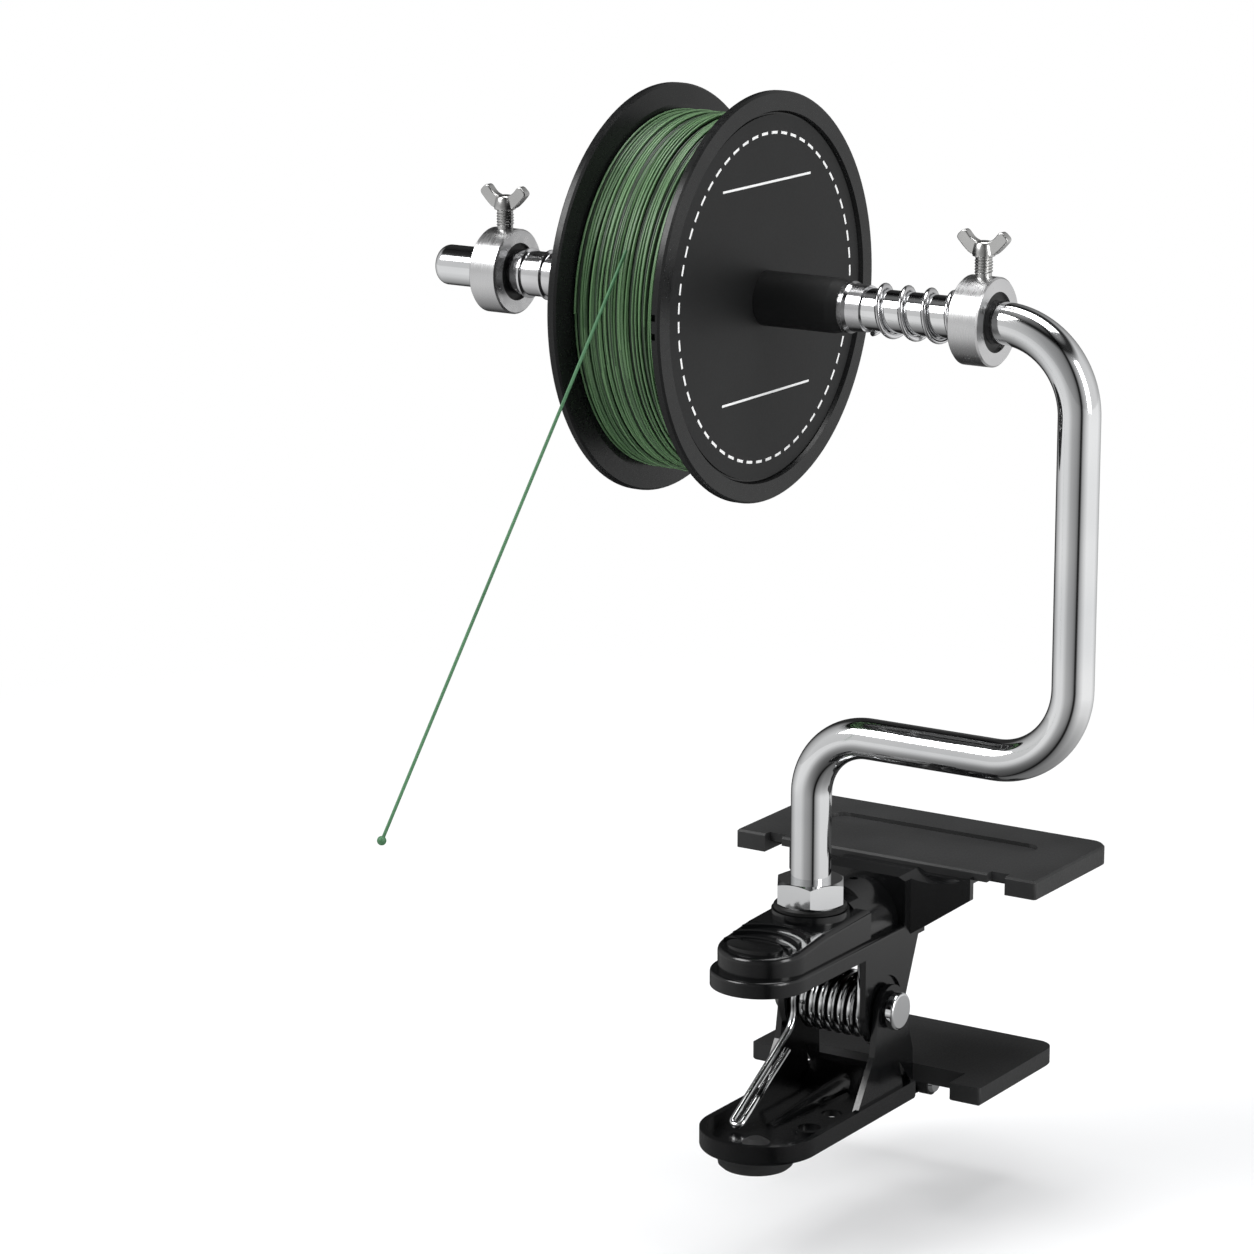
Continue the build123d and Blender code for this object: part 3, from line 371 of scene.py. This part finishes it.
# ------------------------------------------------------------------ wing screws
# Zinc-plated screws pressed from steel: a shank, a tapered hub and two upswept wings with eased
# edges. They stand in the collars and bear on the rod, and a cut thread shows under the hub.
def rounded(corners, radius, steps=6):
    """The outline through corners with each one eased to about radius."""
    points = []
    for i, corner in enumerate(corners):
        before = corners[i - 1] - corner
        after = corners[(i + 1) % len(corners)] - corner
        first = corner + before.normalized() * min(radius, before.length * 0.48)
        last = corner + after.normalized() * min(radius, after.length * 0.48)
        for k in range(steps + 1):
            share = k / steps
            points.append(first * (1 - share) ** 2 + corner * 2 * share * (1 - share) + last * share ** 2)
    return points


def steel_piece(name, builder, body):
    """The finished mesh of a screw, on its body."""
    mesh = bpy.data.meshes.new(name)
    builder.to_mesh(mesh)
    builder.free()
    mesh.materials.append(screw_steel)
    obj = show(name, mesh)
    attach(obj, body)
    return obj


SCREW_SIDES = 32
SCREW_FOOT_Z, HUB_Z = AXIS_Z + 5.15, AXIS_Z + 15.1
SHANK_R, WING_HALF, WING_ROUND, WING_EDGE = 1.95, 1.25, 1.15, 0.4
SCREW_PROFILE = ((0.0, SCREW_FOOT_Z), (1.2, SCREW_FOOT_Z), (SHANK_R, SCREW_FOOT_Z + 0.8), (SHANK_R, HUB_Z),
                 (2.7, HUB_Z), (2.75, HUB_Z + 0.9), (2.3, HUB_Z + 2.9), (1.8, HUB_Z + 3.5),
                 (0.0, HUB_Z + 3.7))
WING_CORNERS = ((0.8, 0.4), (2.9, 0.3), (4.6, 1.7), (7.0, 4.3), (4.7, 6.4), (2.7, 4.0), (0.8, 3.4))


def wing_screw(side, x):
    builder = bmesh.new()
    turned = []
    for r, z in SCREW_PROFILE:
        angles = [math.tau * k / SCREW_SIDES for k in range(SCREW_SIDES)] if r else [0.0]
        turned.append([builder.verts.new(Vector((x + r * math.cos(t), ROD_Y + r * math.sin(t), z)) * MM)
                       for t in angles])
    for low, high in zip(turned, turned[1:]):
        for k in range(SCREW_SIDES):
            corners = [low[k % len(low)], low[(k + 1) % len(low)],
                       high[(k + 1) % len(high)], high[k % len(high)]]
            builder.faces.new(list(dict.fromkeys(corners)))
    for hand in (-1, 1):
        outline = rounded([Vector((x + hand * out, 0, HUB_Z + up)) for out, up in WING_CORNERS], WING_ROUND)
        near, far = ([builder.verts.new(Vector((point.x, ROD_Y + y, point.z)) * MM) for point in outline]
                     for y in (-WING_HALF, WING_HALF))
        builder.faces.new(near)
        builder.faces.new(far[::-1])
        for k in range(len(outline)):
            after = (k + 1) % len(outline)
            builder.faces.new((near[k], far[k], far[after], near[after]))
    bmesh.ops.recalc_face_normals(builder, faces=builder.faces)
    for face in builder.faces:
        face.smooth = True
    screw = steel_piece(f"{side}_wing_screw_shape", builder, f"{side}_wing")
    ease(screw, WING_EDGE)
    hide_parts(f"{side}_wing_screw")


THREAD_R, THREAD_PITCH, THREAD_DEPTH, THREAD_SUNK, THREAD_FADE = 2.0, 0.7, 0.32, 0.15, 12
THREAD_LOW, THREAD_HIGH = AXIS_Z + 10.6, AXIS_Z + 15.0


def thread(side, x):
    """A ridge of triangular section wound round a screw's shank, fading out at both ends."""
    builder = bmesh.new()
    count = int((THREAD_HIGH - THREAD_LOW - THREAD_PITCH) / THREAD_PITCH * SCREW_SIDES)
    root, flank = THREAD_R - THREAD_SUNK, THREAD_PITCH * 0.42
    previous = None
    for i in range(count + 1):
        angle = i * math.tau / SCREW_SIDES
        z = THREAD_LOW + THREAD_PITCH / 2 + THREAD_PITCH * i / SCREW_SIDES
        fade = min(1.0, i / THREAD_FADE, (count - i) / THREAD_FADE)
        section = []
        for r, rise in ((root, -flank), (root + THREAD_DEPTH * fade, 0.0), (root, flank)):
            spot = Vector((x + r * math.cos(angle), ROD_Y + r * math.sin(angle), z + rise))
            section.append(builder.verts.new(spot * MM))
        if previous:
            for k in (0, 1):
                builder.faces.new((previous[k], section[k], section[k + 1], previous[k + 1]))
            builder.faces.new((previous[2], section[2], section[0], previous[0]))
        previous = section
    bmesh.ops.recalc_face_normals(builder, faces=builder.faces)
    steel_piece(f"{side}_thread", builder, f"{side}_wing")


dress(screw_steel, "left_wing_screw", "right_wing_screw")
for side, x in (("left", LEFT_COLLAR_X), ("right", RIGHT_COLLAR_X)):
    wing_screw(side, x)
    thread(side, x)

# ------------------------------------------------------------------ sleeve, ferrule and bushes
# A beaded sleeve and a flanged ferrule of bright steel, which space the spool on the rod, and two
# matt black stepped bushes that stand in the spool's bore and centre it.
RIGHT_FACE_X, BUSH_REACH, FACE_GAP, FERRULE_LENGTH = -14.1, 22.9, 0.15, 5.6
spring_steel = finish("spring_steel", (0.55, 0.55, 0.56, 1), (0.72, 0.72, 0.73, 1), (0.12, 0.2), 1.0,
                      strength=0.05)
bush_black = finish("bush_black", (0.006, 0.0062, 0.0063, 1), (0.010, 0.0103, 0.0105, 1), (0.5, 0.62),
                    strength=0.08, specular=0.2)
dress(spring_steel, "left_sleeve", "right_ferrule", "torsion_spring", "tension_spring")
dress(bush_black, "left_bush", "right_bush")

# ------------------------------------------------------------------ tension spring
# Four open turns of bright wire round the rod, between the ferrule and the right collar. The left
# half goes with the arm, the right half with the right stop.
TENSION_R, TENSION_WIRE_R, TENSION_TURNS, END_GAP = 5.8, 0.7, 4, 0.78
FERRULE_TRAVEL, COLLAR_TRAVEL, TRAVEL_SPARE = 8.0, 10.0, 0.15
spring_left = RIGHT_FACE_X + BUSH_REACH + FACE_GAP + FERRULE_LENGTH + END_GAP
spring_right = RIGHT_COLLAR_X - COLLAR_HALF - END_GAP
tension_points = coil_points(Vector((spring_left, ROD_Y, AXIS_Z)), TENSION_R,
                             (spring_right - spring_left) / TENSION_TURNS, TENSION_TURNS, -math.pi / 2, 1)
half_way = len(tension_points) // 2
spring_middle = tension_points[half_way] * MM
collar_end = Vector((spring_right + TENSION_WIRE_R, ROD_Y, AXIS_Z)) * MM
for name, points, body, joint, anchor, travel in (
    ("tension_coil_left", tension_points[:half_way + 1], "arm", "ferrule_slide", spring_middle,
     FERRULE_TRAVEL),
    ("tension_coil_right", tension_points[half_way:], "right_stop", "right_collar_slide", collar_end,
     COLLAR_TRAVEL),
):
    tension = tube(name, points, TENSION_WIRE_R, WIRE_SIDES, spring_steel)
    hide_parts("tension_spring")
    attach(tension, body)
    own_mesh(tension)

# ------------------------------------------------------------------ spool
# Two flanges and a barrel of satin black plastic, moulded and pressed together. They turn with the
# bushes on the rod.
spool_black = finish("spool_black", (0.004, 0.0042, 0.0043, 1), (0.008, 0.0083, 0.0085, 1), (0.24, 0.34),
                     strength=0.05, specular=0.26)
dress(spool_black, "left_flange", "right_flange", "spool_barrel")


# ------------------------------------------------------------------ label
# A disc of satin black film in the right flange's recess, printed in white with a ring of dashes
# and two plain rules. The rest of it is bare.
def calc(tree, operation, *values):
    """One step of arithmetic; each value is a number or a socket."""
    node = tree.nodes.new("ShaderNodeMath")
    node.operation = operation
    for index, value in enumerate(values):
        feed(tree, node.inputs[index], value)
    return node.outputs[0]


def distance(tree, first, second):
    return calc(tree, "SQRT", calc(tree, "ADD", calc(tree, "MULTIPLY", first, first),
                                   calc(tree, "MULTIPLY", second, second)))


RING_R, RING_HALF, RING_DASHES, DASH_SHARE = 39.3, 0.33, 56, 0.6
RULES_Z, RULE_LENGTH, RULE_HALF = (27.6, -23.1), 40.0, 0.28

label_mat, tree, shader = new_material("label_print")
place = tree.nodes.new("ShaderNodeTexCoord").outputs["Object"]
split = tree.nodes.new("ShaderNodeSeparateXYZ")
tree.links.new(place, split.inputs[0])
label_y = calc(tree, "SUBTRACT", split.outputs[1], ROD_Y * MM)
label_z = calc(tree, "SUBTRACT", split.outputs[2], AXIS_Z * MM)
ring = calc(tree, "COMPARE", distance(tree, label_y, label_z), RING_R * MM, RING_HALF * MM)
bearing = calc(tree, "ARCTAN2", label_z, label_y)
dash = calc(tree, "LESS_THAN", calc(tree, "FRACT", calc(tree, "MULTIPLY", bearing, RING_DASHES / math.tau)),
            DASH_SHARE)
printed = calc(tree, "MULTIPLY", ring, dash)
for rule_z in RULES_Z:
    rule = calc(tree, "MULTIPLY", calc(tree, "COMPARE", label_z, rule_z * MM, RULE_HALF * MM),
                calc(tree, "COMPARE", label_y, 0.0, RULE_LENGTH / 2 * MM))
    printed = calc(tree, "MAXIMUM", printed, rule)
fine = noise(tree, place, 2600.0, 3.0)
ground = mix(tree, noise(tree, place, 60.0, 2.0), (0.006, 0.0062, 0.0063, 1), (0.010, 0.0103, 0.0105, 1))
worn = calc(tree, "MULTIPLY", printed, span(tree, fine, 0.9, 1.0))
tree.links.new(mix(tree, worn, ground, (0.86, 0.86, 0.85, 1)), shader.inputs["Base Color"])
tree.links.new(span(tree, fine, 0.42, 0.55), shader.inputs["Roughness"])
tree.links.new(bump(tree, fine, 0.08, 0.00002), shader.inputs["Normal"])
shader.inputs["Specular IOR Level"].default_value = 0.22
dress(label_mat, "label_disc")

# ------------------------------------------------------------------ wound line
# Green braided line in many slightly wandering turns between the flanges: a close bed of turns,
# painted darker as the shade under the top turns, on a core painted near black as the shade in the
# gaps, and over it turns that cross at a low angle. Each strand is round, with a fine diagonal plait.
INNER_FACES = (-40.6, -16.2)      # of the two flanges, along X
CORE_R = 41.9
LINE_DIA, WOUND_DIA = 0.8, 0.58   # the wound turns lie pressed a little thinner
PLAIT_REPEAT = 1500.0             # crossings per metre
TURN_LENGTH = 0.2665              # metres of line in one turn
TURN_STEPS = 72                   # points in one turn

plait_group, plait_in, plait_out = node_group(
    "plait", {"Place": "Vector", "Strand": "Vector", "Dark": "Color", "Light": "Color"},
    {"Color": "Color", "Roughness": "Float", "Normal": "Vector"})
strand = plait_group.nodes.new("ShaderNodeSeparateXYZ")
feed(plait_group, strand.inputs[0], plait_in["Strand"])
along = calc(plait_group, "MULTIPLY", strand.outputs[0], math.tau * PLAIT_REPEAT)
around = calc(plait_group, "MULTIPLY", strand.outputs[1], math.tau * 2)
weave = calc(plait_group, "MAXIMUM", calc(plait_group, "SINE", calc(plait_group, "ADD", along, around)),
             calc(plait_group, "SINE", calc(plait_group, "SUBTRACT", along, around)))
drift = noise(plait_group, plait_in["Place"], 70.0, 3.0)
fleck = noise(plait_group, plait_in["Place"], 1500.0, 2.0)
turn_shade = plait_group.nodes.new("ShaderNodeTexWhiteNoise")
turn_shade.noise_dimensions = "1D"
feed(plait_group, turn_shade.inputs["W"],
     calc(plait_group, "FLOOR", calc(plait_group, "DIVIDE", strand.outputs[0], TURN_LENGTH)))
by_weave = calc(plait_group, "MULTIPLY", span(plait_group, weave, 0.0, 1.0, -0.4, 1.0), 0.2)
by_place = calc(plait_group, "MULTIPLY", calc(plait_group, "ADD", drift, fleck), 0.3)
by_turn = calc(plait_group, "MULTIPLY", turn_shade.outputs[0], 0.45)
shade = calc(plait_group, "ADD", by_weave, calc(plait_group, "ADD", by_place, by_turn))
feed(plait_group, plait_out["Color"],
     mix(plait_group, span(plait_group, shade, 0.0, 1.0, 0.25, 0.85), plait_in["Dark"], plait_in["Light"]))
feed(plait_group, plait_out["Roughness"], span(plait_group, fleck, 0.3, 0.5))
feed(plait_group, plait_out["Normal"], bump(plait_group, weave, 0.25, 0.00003))


def plait_finish(name, dark, light):
    mat, tree, shader = new_material(name)
    strand_map = tree.nodes.new("ShaderNodeUVMap")
    strand_map.uv_map = "plait"
    surface = place_group(tree, plait_group, {
        "Place": tree.nodes.new("ShaderNodeTexCoord").outputs["Object"], "Strand": strand_map.outputs[0],
        "Dark": dark, "Light": light})
    for label, output in (("Base Color", "Color"), ("Roughness", "Roughness"), ("Normal", "Normal")):
        tree.links.new(surface[output], shader.inputs[label])
    shader.inputs["Specular IOR Level"].default_value = 0.8
    return mat


def wound_layer(name, turns, radius, sides, spread, seed, mat, reverse=False):
    """One layer of turns from flange to flange. Each turn wanders a little and rides up where it
    nears the next."""
    chance = random.Random(seed)
    low, high = INNER_FACES[0] + LINE_DIA * 0.6, INNER_FACES[1] - LINE_DIA * 0.6
    waves = [(spread * chance.uniform(0.5, 1.0), chance.uniform(0.21, 0.9), chance.uniform(0, math.tau))
             for _ in range(4)]
    offsets = [chance.uniform(-0.32, 0.32) for _ in range(turns + 2)]
    heights = [chance.uniform(-0.12, 0.22) for _ in range(turns + 2)]
    path = []
    for i in range(turns * TURN_STEPS + 1):
        angle = i * math.tau / TURN_STEPS
        turn = i / TURN_STEPS
        whole, part = int(turn), turn - int(turn)
        late = part * part * (3 - 2 * part)
        x = low + (high - low) * (turn / turns)
        x += offsets[whole] * (1 - late) + offsets[whole + 1] * late
        x += sum(size * math.sin(rate * angle + phase) for size, rate, phase in waves)
        x = min(max(x, low), high)
        if reverse:
            x = low + high - x
        out = radius + heights[whole] * (1 - late) + heights[whole + 1] * late
        out += 0.08 * math.sin(angle * 3.1 + whole)
        path.append(Vector((x, ROD_Y - out * math.cos(angle), AXIS_Z + out * math.sin(angle))))
    layer = tube(name, path, WOUND_DIA / 2, sides, mat)
    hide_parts("line_winding")
    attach(layer, "spool")


wound_green = plait_finish("wound_line", (0.006, 0.034, 0.006, 1), (0.095, 0.205, 0.080, 1))
# Painted shade: the bed turns are a darker copy of the green line, standing for the shade under and between
# the top turns.
under_green_painted_shade = plait_finish("under_line_painted_shade", (0.003, 0.010, 0.003, 1), (0.022, 0.052, 0.022, 1))
# Painted shade: the core is near black, standing for the shade seen in the gaps between the turns.
bed_painted_shade = finish("line_bed", (0.001, 0.002, 0.001, 1), (0.003, 0.006, 0.003, 1), (0.7, 0.85),
                   grain=1500.0, stretch=(6.0, 1.0, 1.0), depth=0.0001, strength=0.5)
dress(bed_painted_shade, "line_core")
wound_layer("line_bed_turns", 31, CORE_R + 0.2, 5, 0.1, 3, under_green_painted_shade)
wound_layer("line_top_turns", 27, CORE_R + 0.62, 6, 0.24, 5, wound_green, reverse=True)
wound_layer("line_cross_turns", 9, CORE_R + 0.95, 6, 0.8, 8, wound_green)

# ------------------------------------------------------------------ free line
# The same line drawn off the spool, taut and straight, from the winding to a small knot tied in
# its end.
LINE_TOP = Vector((-26.9, -97.15, 165.3))
LINE_END = LINE_TOP + Vector((-24.7, -65.0, -130.0))
cord_curve = bpy.data.curves.new("free_line_cord", "CURVE")
cord_curve.dimensions = "3D"
spline = cord_curve.splines.new("NURBS")
route = [LINE_TOP + (LINE_END - LINE_TOP) * share for share in (0.0, 0.33, 0.67, 1.0)]
spline.points.add(len(route) - 1)
for point, spot in zip(spline.points, route):
    point.co = (*(spot * MM), 1.0)
spline.order_u = 3
spline.use_endpoint_u = True
cord_curve.bevel_depth = LINE_DIA / 2 * MM
cord_curve.bevel_resolution = 4
cord_curve.use_fill_caps = True
free_cord = show("free_line_cord", cord_curve)
free_green = finish("free_line_green", (0.03, 0.115, 0.045, 1), (0.07, 0.2, 0.09, 1), (0.4, 0.6),
                    grain=4000.0, depth=0.00005, strength=0.5)
cord_curve.materials.append(free_green)
dress(free_green, "line_knot")
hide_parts("free_line")
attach(free_cord, "arm")


# ------------------------------------------------------------------ floor
# A pale seamless floor that fades to white away from the clamp and shows chrome the same light and
# dark panels as the studio round it, dimmed near the clamp as a painted shadow. It lies low enough
# for the lower lever's whole swing.
def stops(tree, value, levels):
    """A smooth ramp of grey levels at places from 0 to 1."""
    node = tree.nodes.new("ShaderNodeValToRGB")
    ramp = node.color_ramp
    while len(ramp.elements) < len(levels):
        ramp.elements.new(0.5)
    for element, (where, level) in zip(ramp.elements, levels):
        element.position = where
        element.color = (level, level, level, 1)
    tree.links.new(value, node.inputs[0])
    return node.outputs[0]


AZIMUTH = math.radians(32.85)      # where the camera stands; the panels are laid out from there
PANELS = ((-180, 0.03), (-158, 0.04), (-135, 0.5), (-100, 0.9), (-62, 0.85), (-38, 0.5), (-10, 0.34),
          (1, 0.2), (5, 0.02), (12, 0.02), (18, 0.4), (34, 0.75), (50, 1.0), (105, 1.0), (140, 0.6),
          (165, 0.25), (180, 0.03))


def studio_ring(tree, vector, centre):
    """Light and dark studio panels by their bearing round the object, and the place's three parts."""
    parts = tree.nodes.new("ShaderNodeSeparateXYZ")
    tree.links.new(vector, parts.inputs[0])
    x = calc(tree, "SUBTRACT", parts.outputs[0], centre[0])
    y = calc(tree, "SUBTRACT", parts.outputs[1], centre[1])
    ahead = calc(tree, "SUBTRACT", calc(tree, "MULTIPLY", x, math.sin(AZIMUTH)),
                 calc(tree, "MULTIPLY", y, math.cos(AZIMUTH)))
    right = calc(tree, "ADD", calc(tree, "MULTIPLY", x, math.cos(AZIMUTH)),
                 calc(tree, "MULTIPLY", y, math.sin(AZIMUTH)))
    turned = calc(tree, "MULTIPLY", calc(tree, "ARCTAN2", right, ahead), 1 / math.tau)
    levels = [(degrees / 360 + 0.5, level) for degrees, level in PANELS]
    return stops(tree, calc(tree, "ADD", turned, 0.5), levels), x, y, parts.outputs[2]


def choose(tree, share, first, second):
    """One shader or another, by share."""
    node = tree.nodes.new("ShaderNodeMixShader")
    for index, output in enumerate((share, first, second)):
        tree.links.new(output, node.inputs[index])
    return node.outputs[0]


def mirror_rays(tree, path):
    return calc(tree, "MAXIMUM", path.outputs["Is Glossy Ray"], path.outputs["Is Transmission Ray"])


SWING_ROOM = 0.022                 # metres under the lowest point at rest
FLOOR_HALF = 6.0
floor_z = min(corner[2] for corner in cad_box) - SWING_ROOM
floor_mesh = bpy.data.meshes.new("floor")
floor_corners = [(x * FLOOR_HALF, y * FLOOR_HALF, floor_z) for x, y in ((-1, -1), (1, -1), (1, 1), (-1, 1))]
floor_mesh.from_pydata(floor_corners, [], [(0, 1, 2, 3)])
floor = show("floor", floor_mesh)

floor_mat, tree, shader = new_material("floor_pale")
place = tree.nodes.new("ShaderNodeTexCoord").outputs["Object"]
tree.links.new(mix(tree, noise(tree, place, 3.0, 2.0), (0.86, 0.86, 0.865, 1), (0.9, 0.9, 0.905, 1)),
               shader.inputs["Base Color"])
shader.inputs["Roughness"].default_value = 0.55
path = tree.nodes.new("ShaderNodeLightPath")
panel_level, floor_x, floor_y, _ = studio_ring(tree, place, (0.0, ROD_Y * MM))
away = distance(tree, floor_x, floor_y)
white = tree.nodes.new("ShaderNodeEmission")
white.inputs["Color"].default_value = (1, 1, 1, 1)
whiter = calc(tree, "MULTIPLY", path.outputs["Is Camera Ray"],
              stops(tree, away, [(0.0, 0.35), (0.22, 0.42), (0.6, 1.0), (1.0, 1.0)]))
seen = choose(tree, whiter, shader.outputs[0], white.outputs[0])
# Painted shadow: what mirrors see of the floor grows dimmer near the clamp, standing for the clamp's shade
# on it.
glow = tree.nodes.new("ShaderNodeEmission")
tree.links.new(calc(tree, "MULTIPLY", panel_level,
                    stops(tree, away, [(0.0, 0.12), (0.12, 0.3), (0.3, 0.8), (0.5, 1.0)])),
               glow.inputs["Strength"])
tree.links.new(choose(tree, mirror_rays(tree, path), seen, glow.outputs[0]),
               tree.nodes["Material Output"].inputs[0])
floor_mesh.materials.append(floor_mat)

# ------------------------------------------------------------------ studio
# A faint cool fill all round, panels that only mirrors see, and a white backdrop that only the
# camera sees. Three soft lamps light the object itself.
world = bpy.data.worlds.new("studio")
bpy.context.scene.world = world
world.use_nodes = True
tree = world.node_tree
tree.nodes.clear()
fill, panels, backdrop = (tree.nodes.new("ShaderNodeBackground") for _ in range(3))
fill.inputs[0].default_value = (0.95, 0.97, 1.0, 1)
fill.inputs[1].default_value = 0.45
backdrop.inputs[0].default_value = (1, 1, 1, 1)
backdrop.inputs[1].default_value = 1.0
sky = tree.nodes.new("ShaderNodeTexCoord").outputs["Generated"]
panel_level, _, _, height = studio_ring(tree, sky, (0, 0))
overhead = stops(tree, height, [(0.0, 1.0), (0.6, 1.0), (0.7, 0.3), (0.74, 0.04), (0.82, 0.04), (0.88, 0.3),
                                (1.0, 0.6)])
tree.links.new(calc(tree, "MULTIPLY", panel_level, overhead), panels.inputs[1])
path = tree.nodes.new("ShaderNodeLightPath")
mirrored = choose(tree, mirror_rays(tree, path), fill.outputs[0], panels.outputs[0])
world_out = tree.nodes.new("ShaderNodeOutputWorld")
all_round = choose(tree, path.outputs["Is Camera Ray"], mirrored, backdrop.outputs[0])
tree.links.new(all_round, world_out.inputs[0])


def lamp(name, place_m, width, height, power):
    data = bpy.data.lights.new(name, "AREA")
    data.shape = "RECTANGLE"
    data.size, data.size_y, data.energy = width, height, power
    aim = Vector(LAMPS_AIM) - Vector(place_m)
    turned = aim.to_track_quat("-Z", "Y").to_matrix().to_4x4()
    show(name, data).matrix_world = Matrix.Translation(place_m) @ turned


LAMPS_AIM = (-0.02, -0.05, 0.06)
lamp("key", (-0.9, -1.1, 1.3), 0.9, 0.9, 26)
lamp("side", (1.5, -0.2, 0.6), 0.5, 1.2, 12)
lamp("top", (0.0, 0.2, 1.6), 1.2, 0.8, 16)

# ------------------------------------------------------------------ camera
# It looks from the right of the clamp's front and a little above, through a long lens. Its place
# is fitted to the object's corners in the picture.
PICTURE, FOCAL = 1254.0, 4562.0    # the picture's width and the lens's focal length, in pixels
SENSOR = 36.0
ELEVATION, DISTANCE = math.radians(13.75), 1.12633
TARGET = Vector((-53.26, -56.0, 63.68)) * MM
camera_data = bpy.data.cameras.new("camera")
camera_data.sensor_width = SENSOR
camera_data.sensor_fit = "HORIZONTAL"
camera_data.lens = FOCAL / PICTURE * SENSOR
camera_data.clip_end = 20.0
camera = show("camera", camera_data)
back = Vector((math.sin(AZIMUTH) * math.cos(ELEVATION), -math.cos(AZIMUTH) * math.cos(ELEVATION),
               math.sin(ELEVATION)))
camera.matrix_world = (Matrix.Translation(TARGET + back * DISTANCE)
                       @ (-back).to_track_quat("-Z", "Y").to_matrix().to_4x4())
bpy.context.scene.camera = camera
bpy.context.scene.view_settings.view_transform = "Standard"
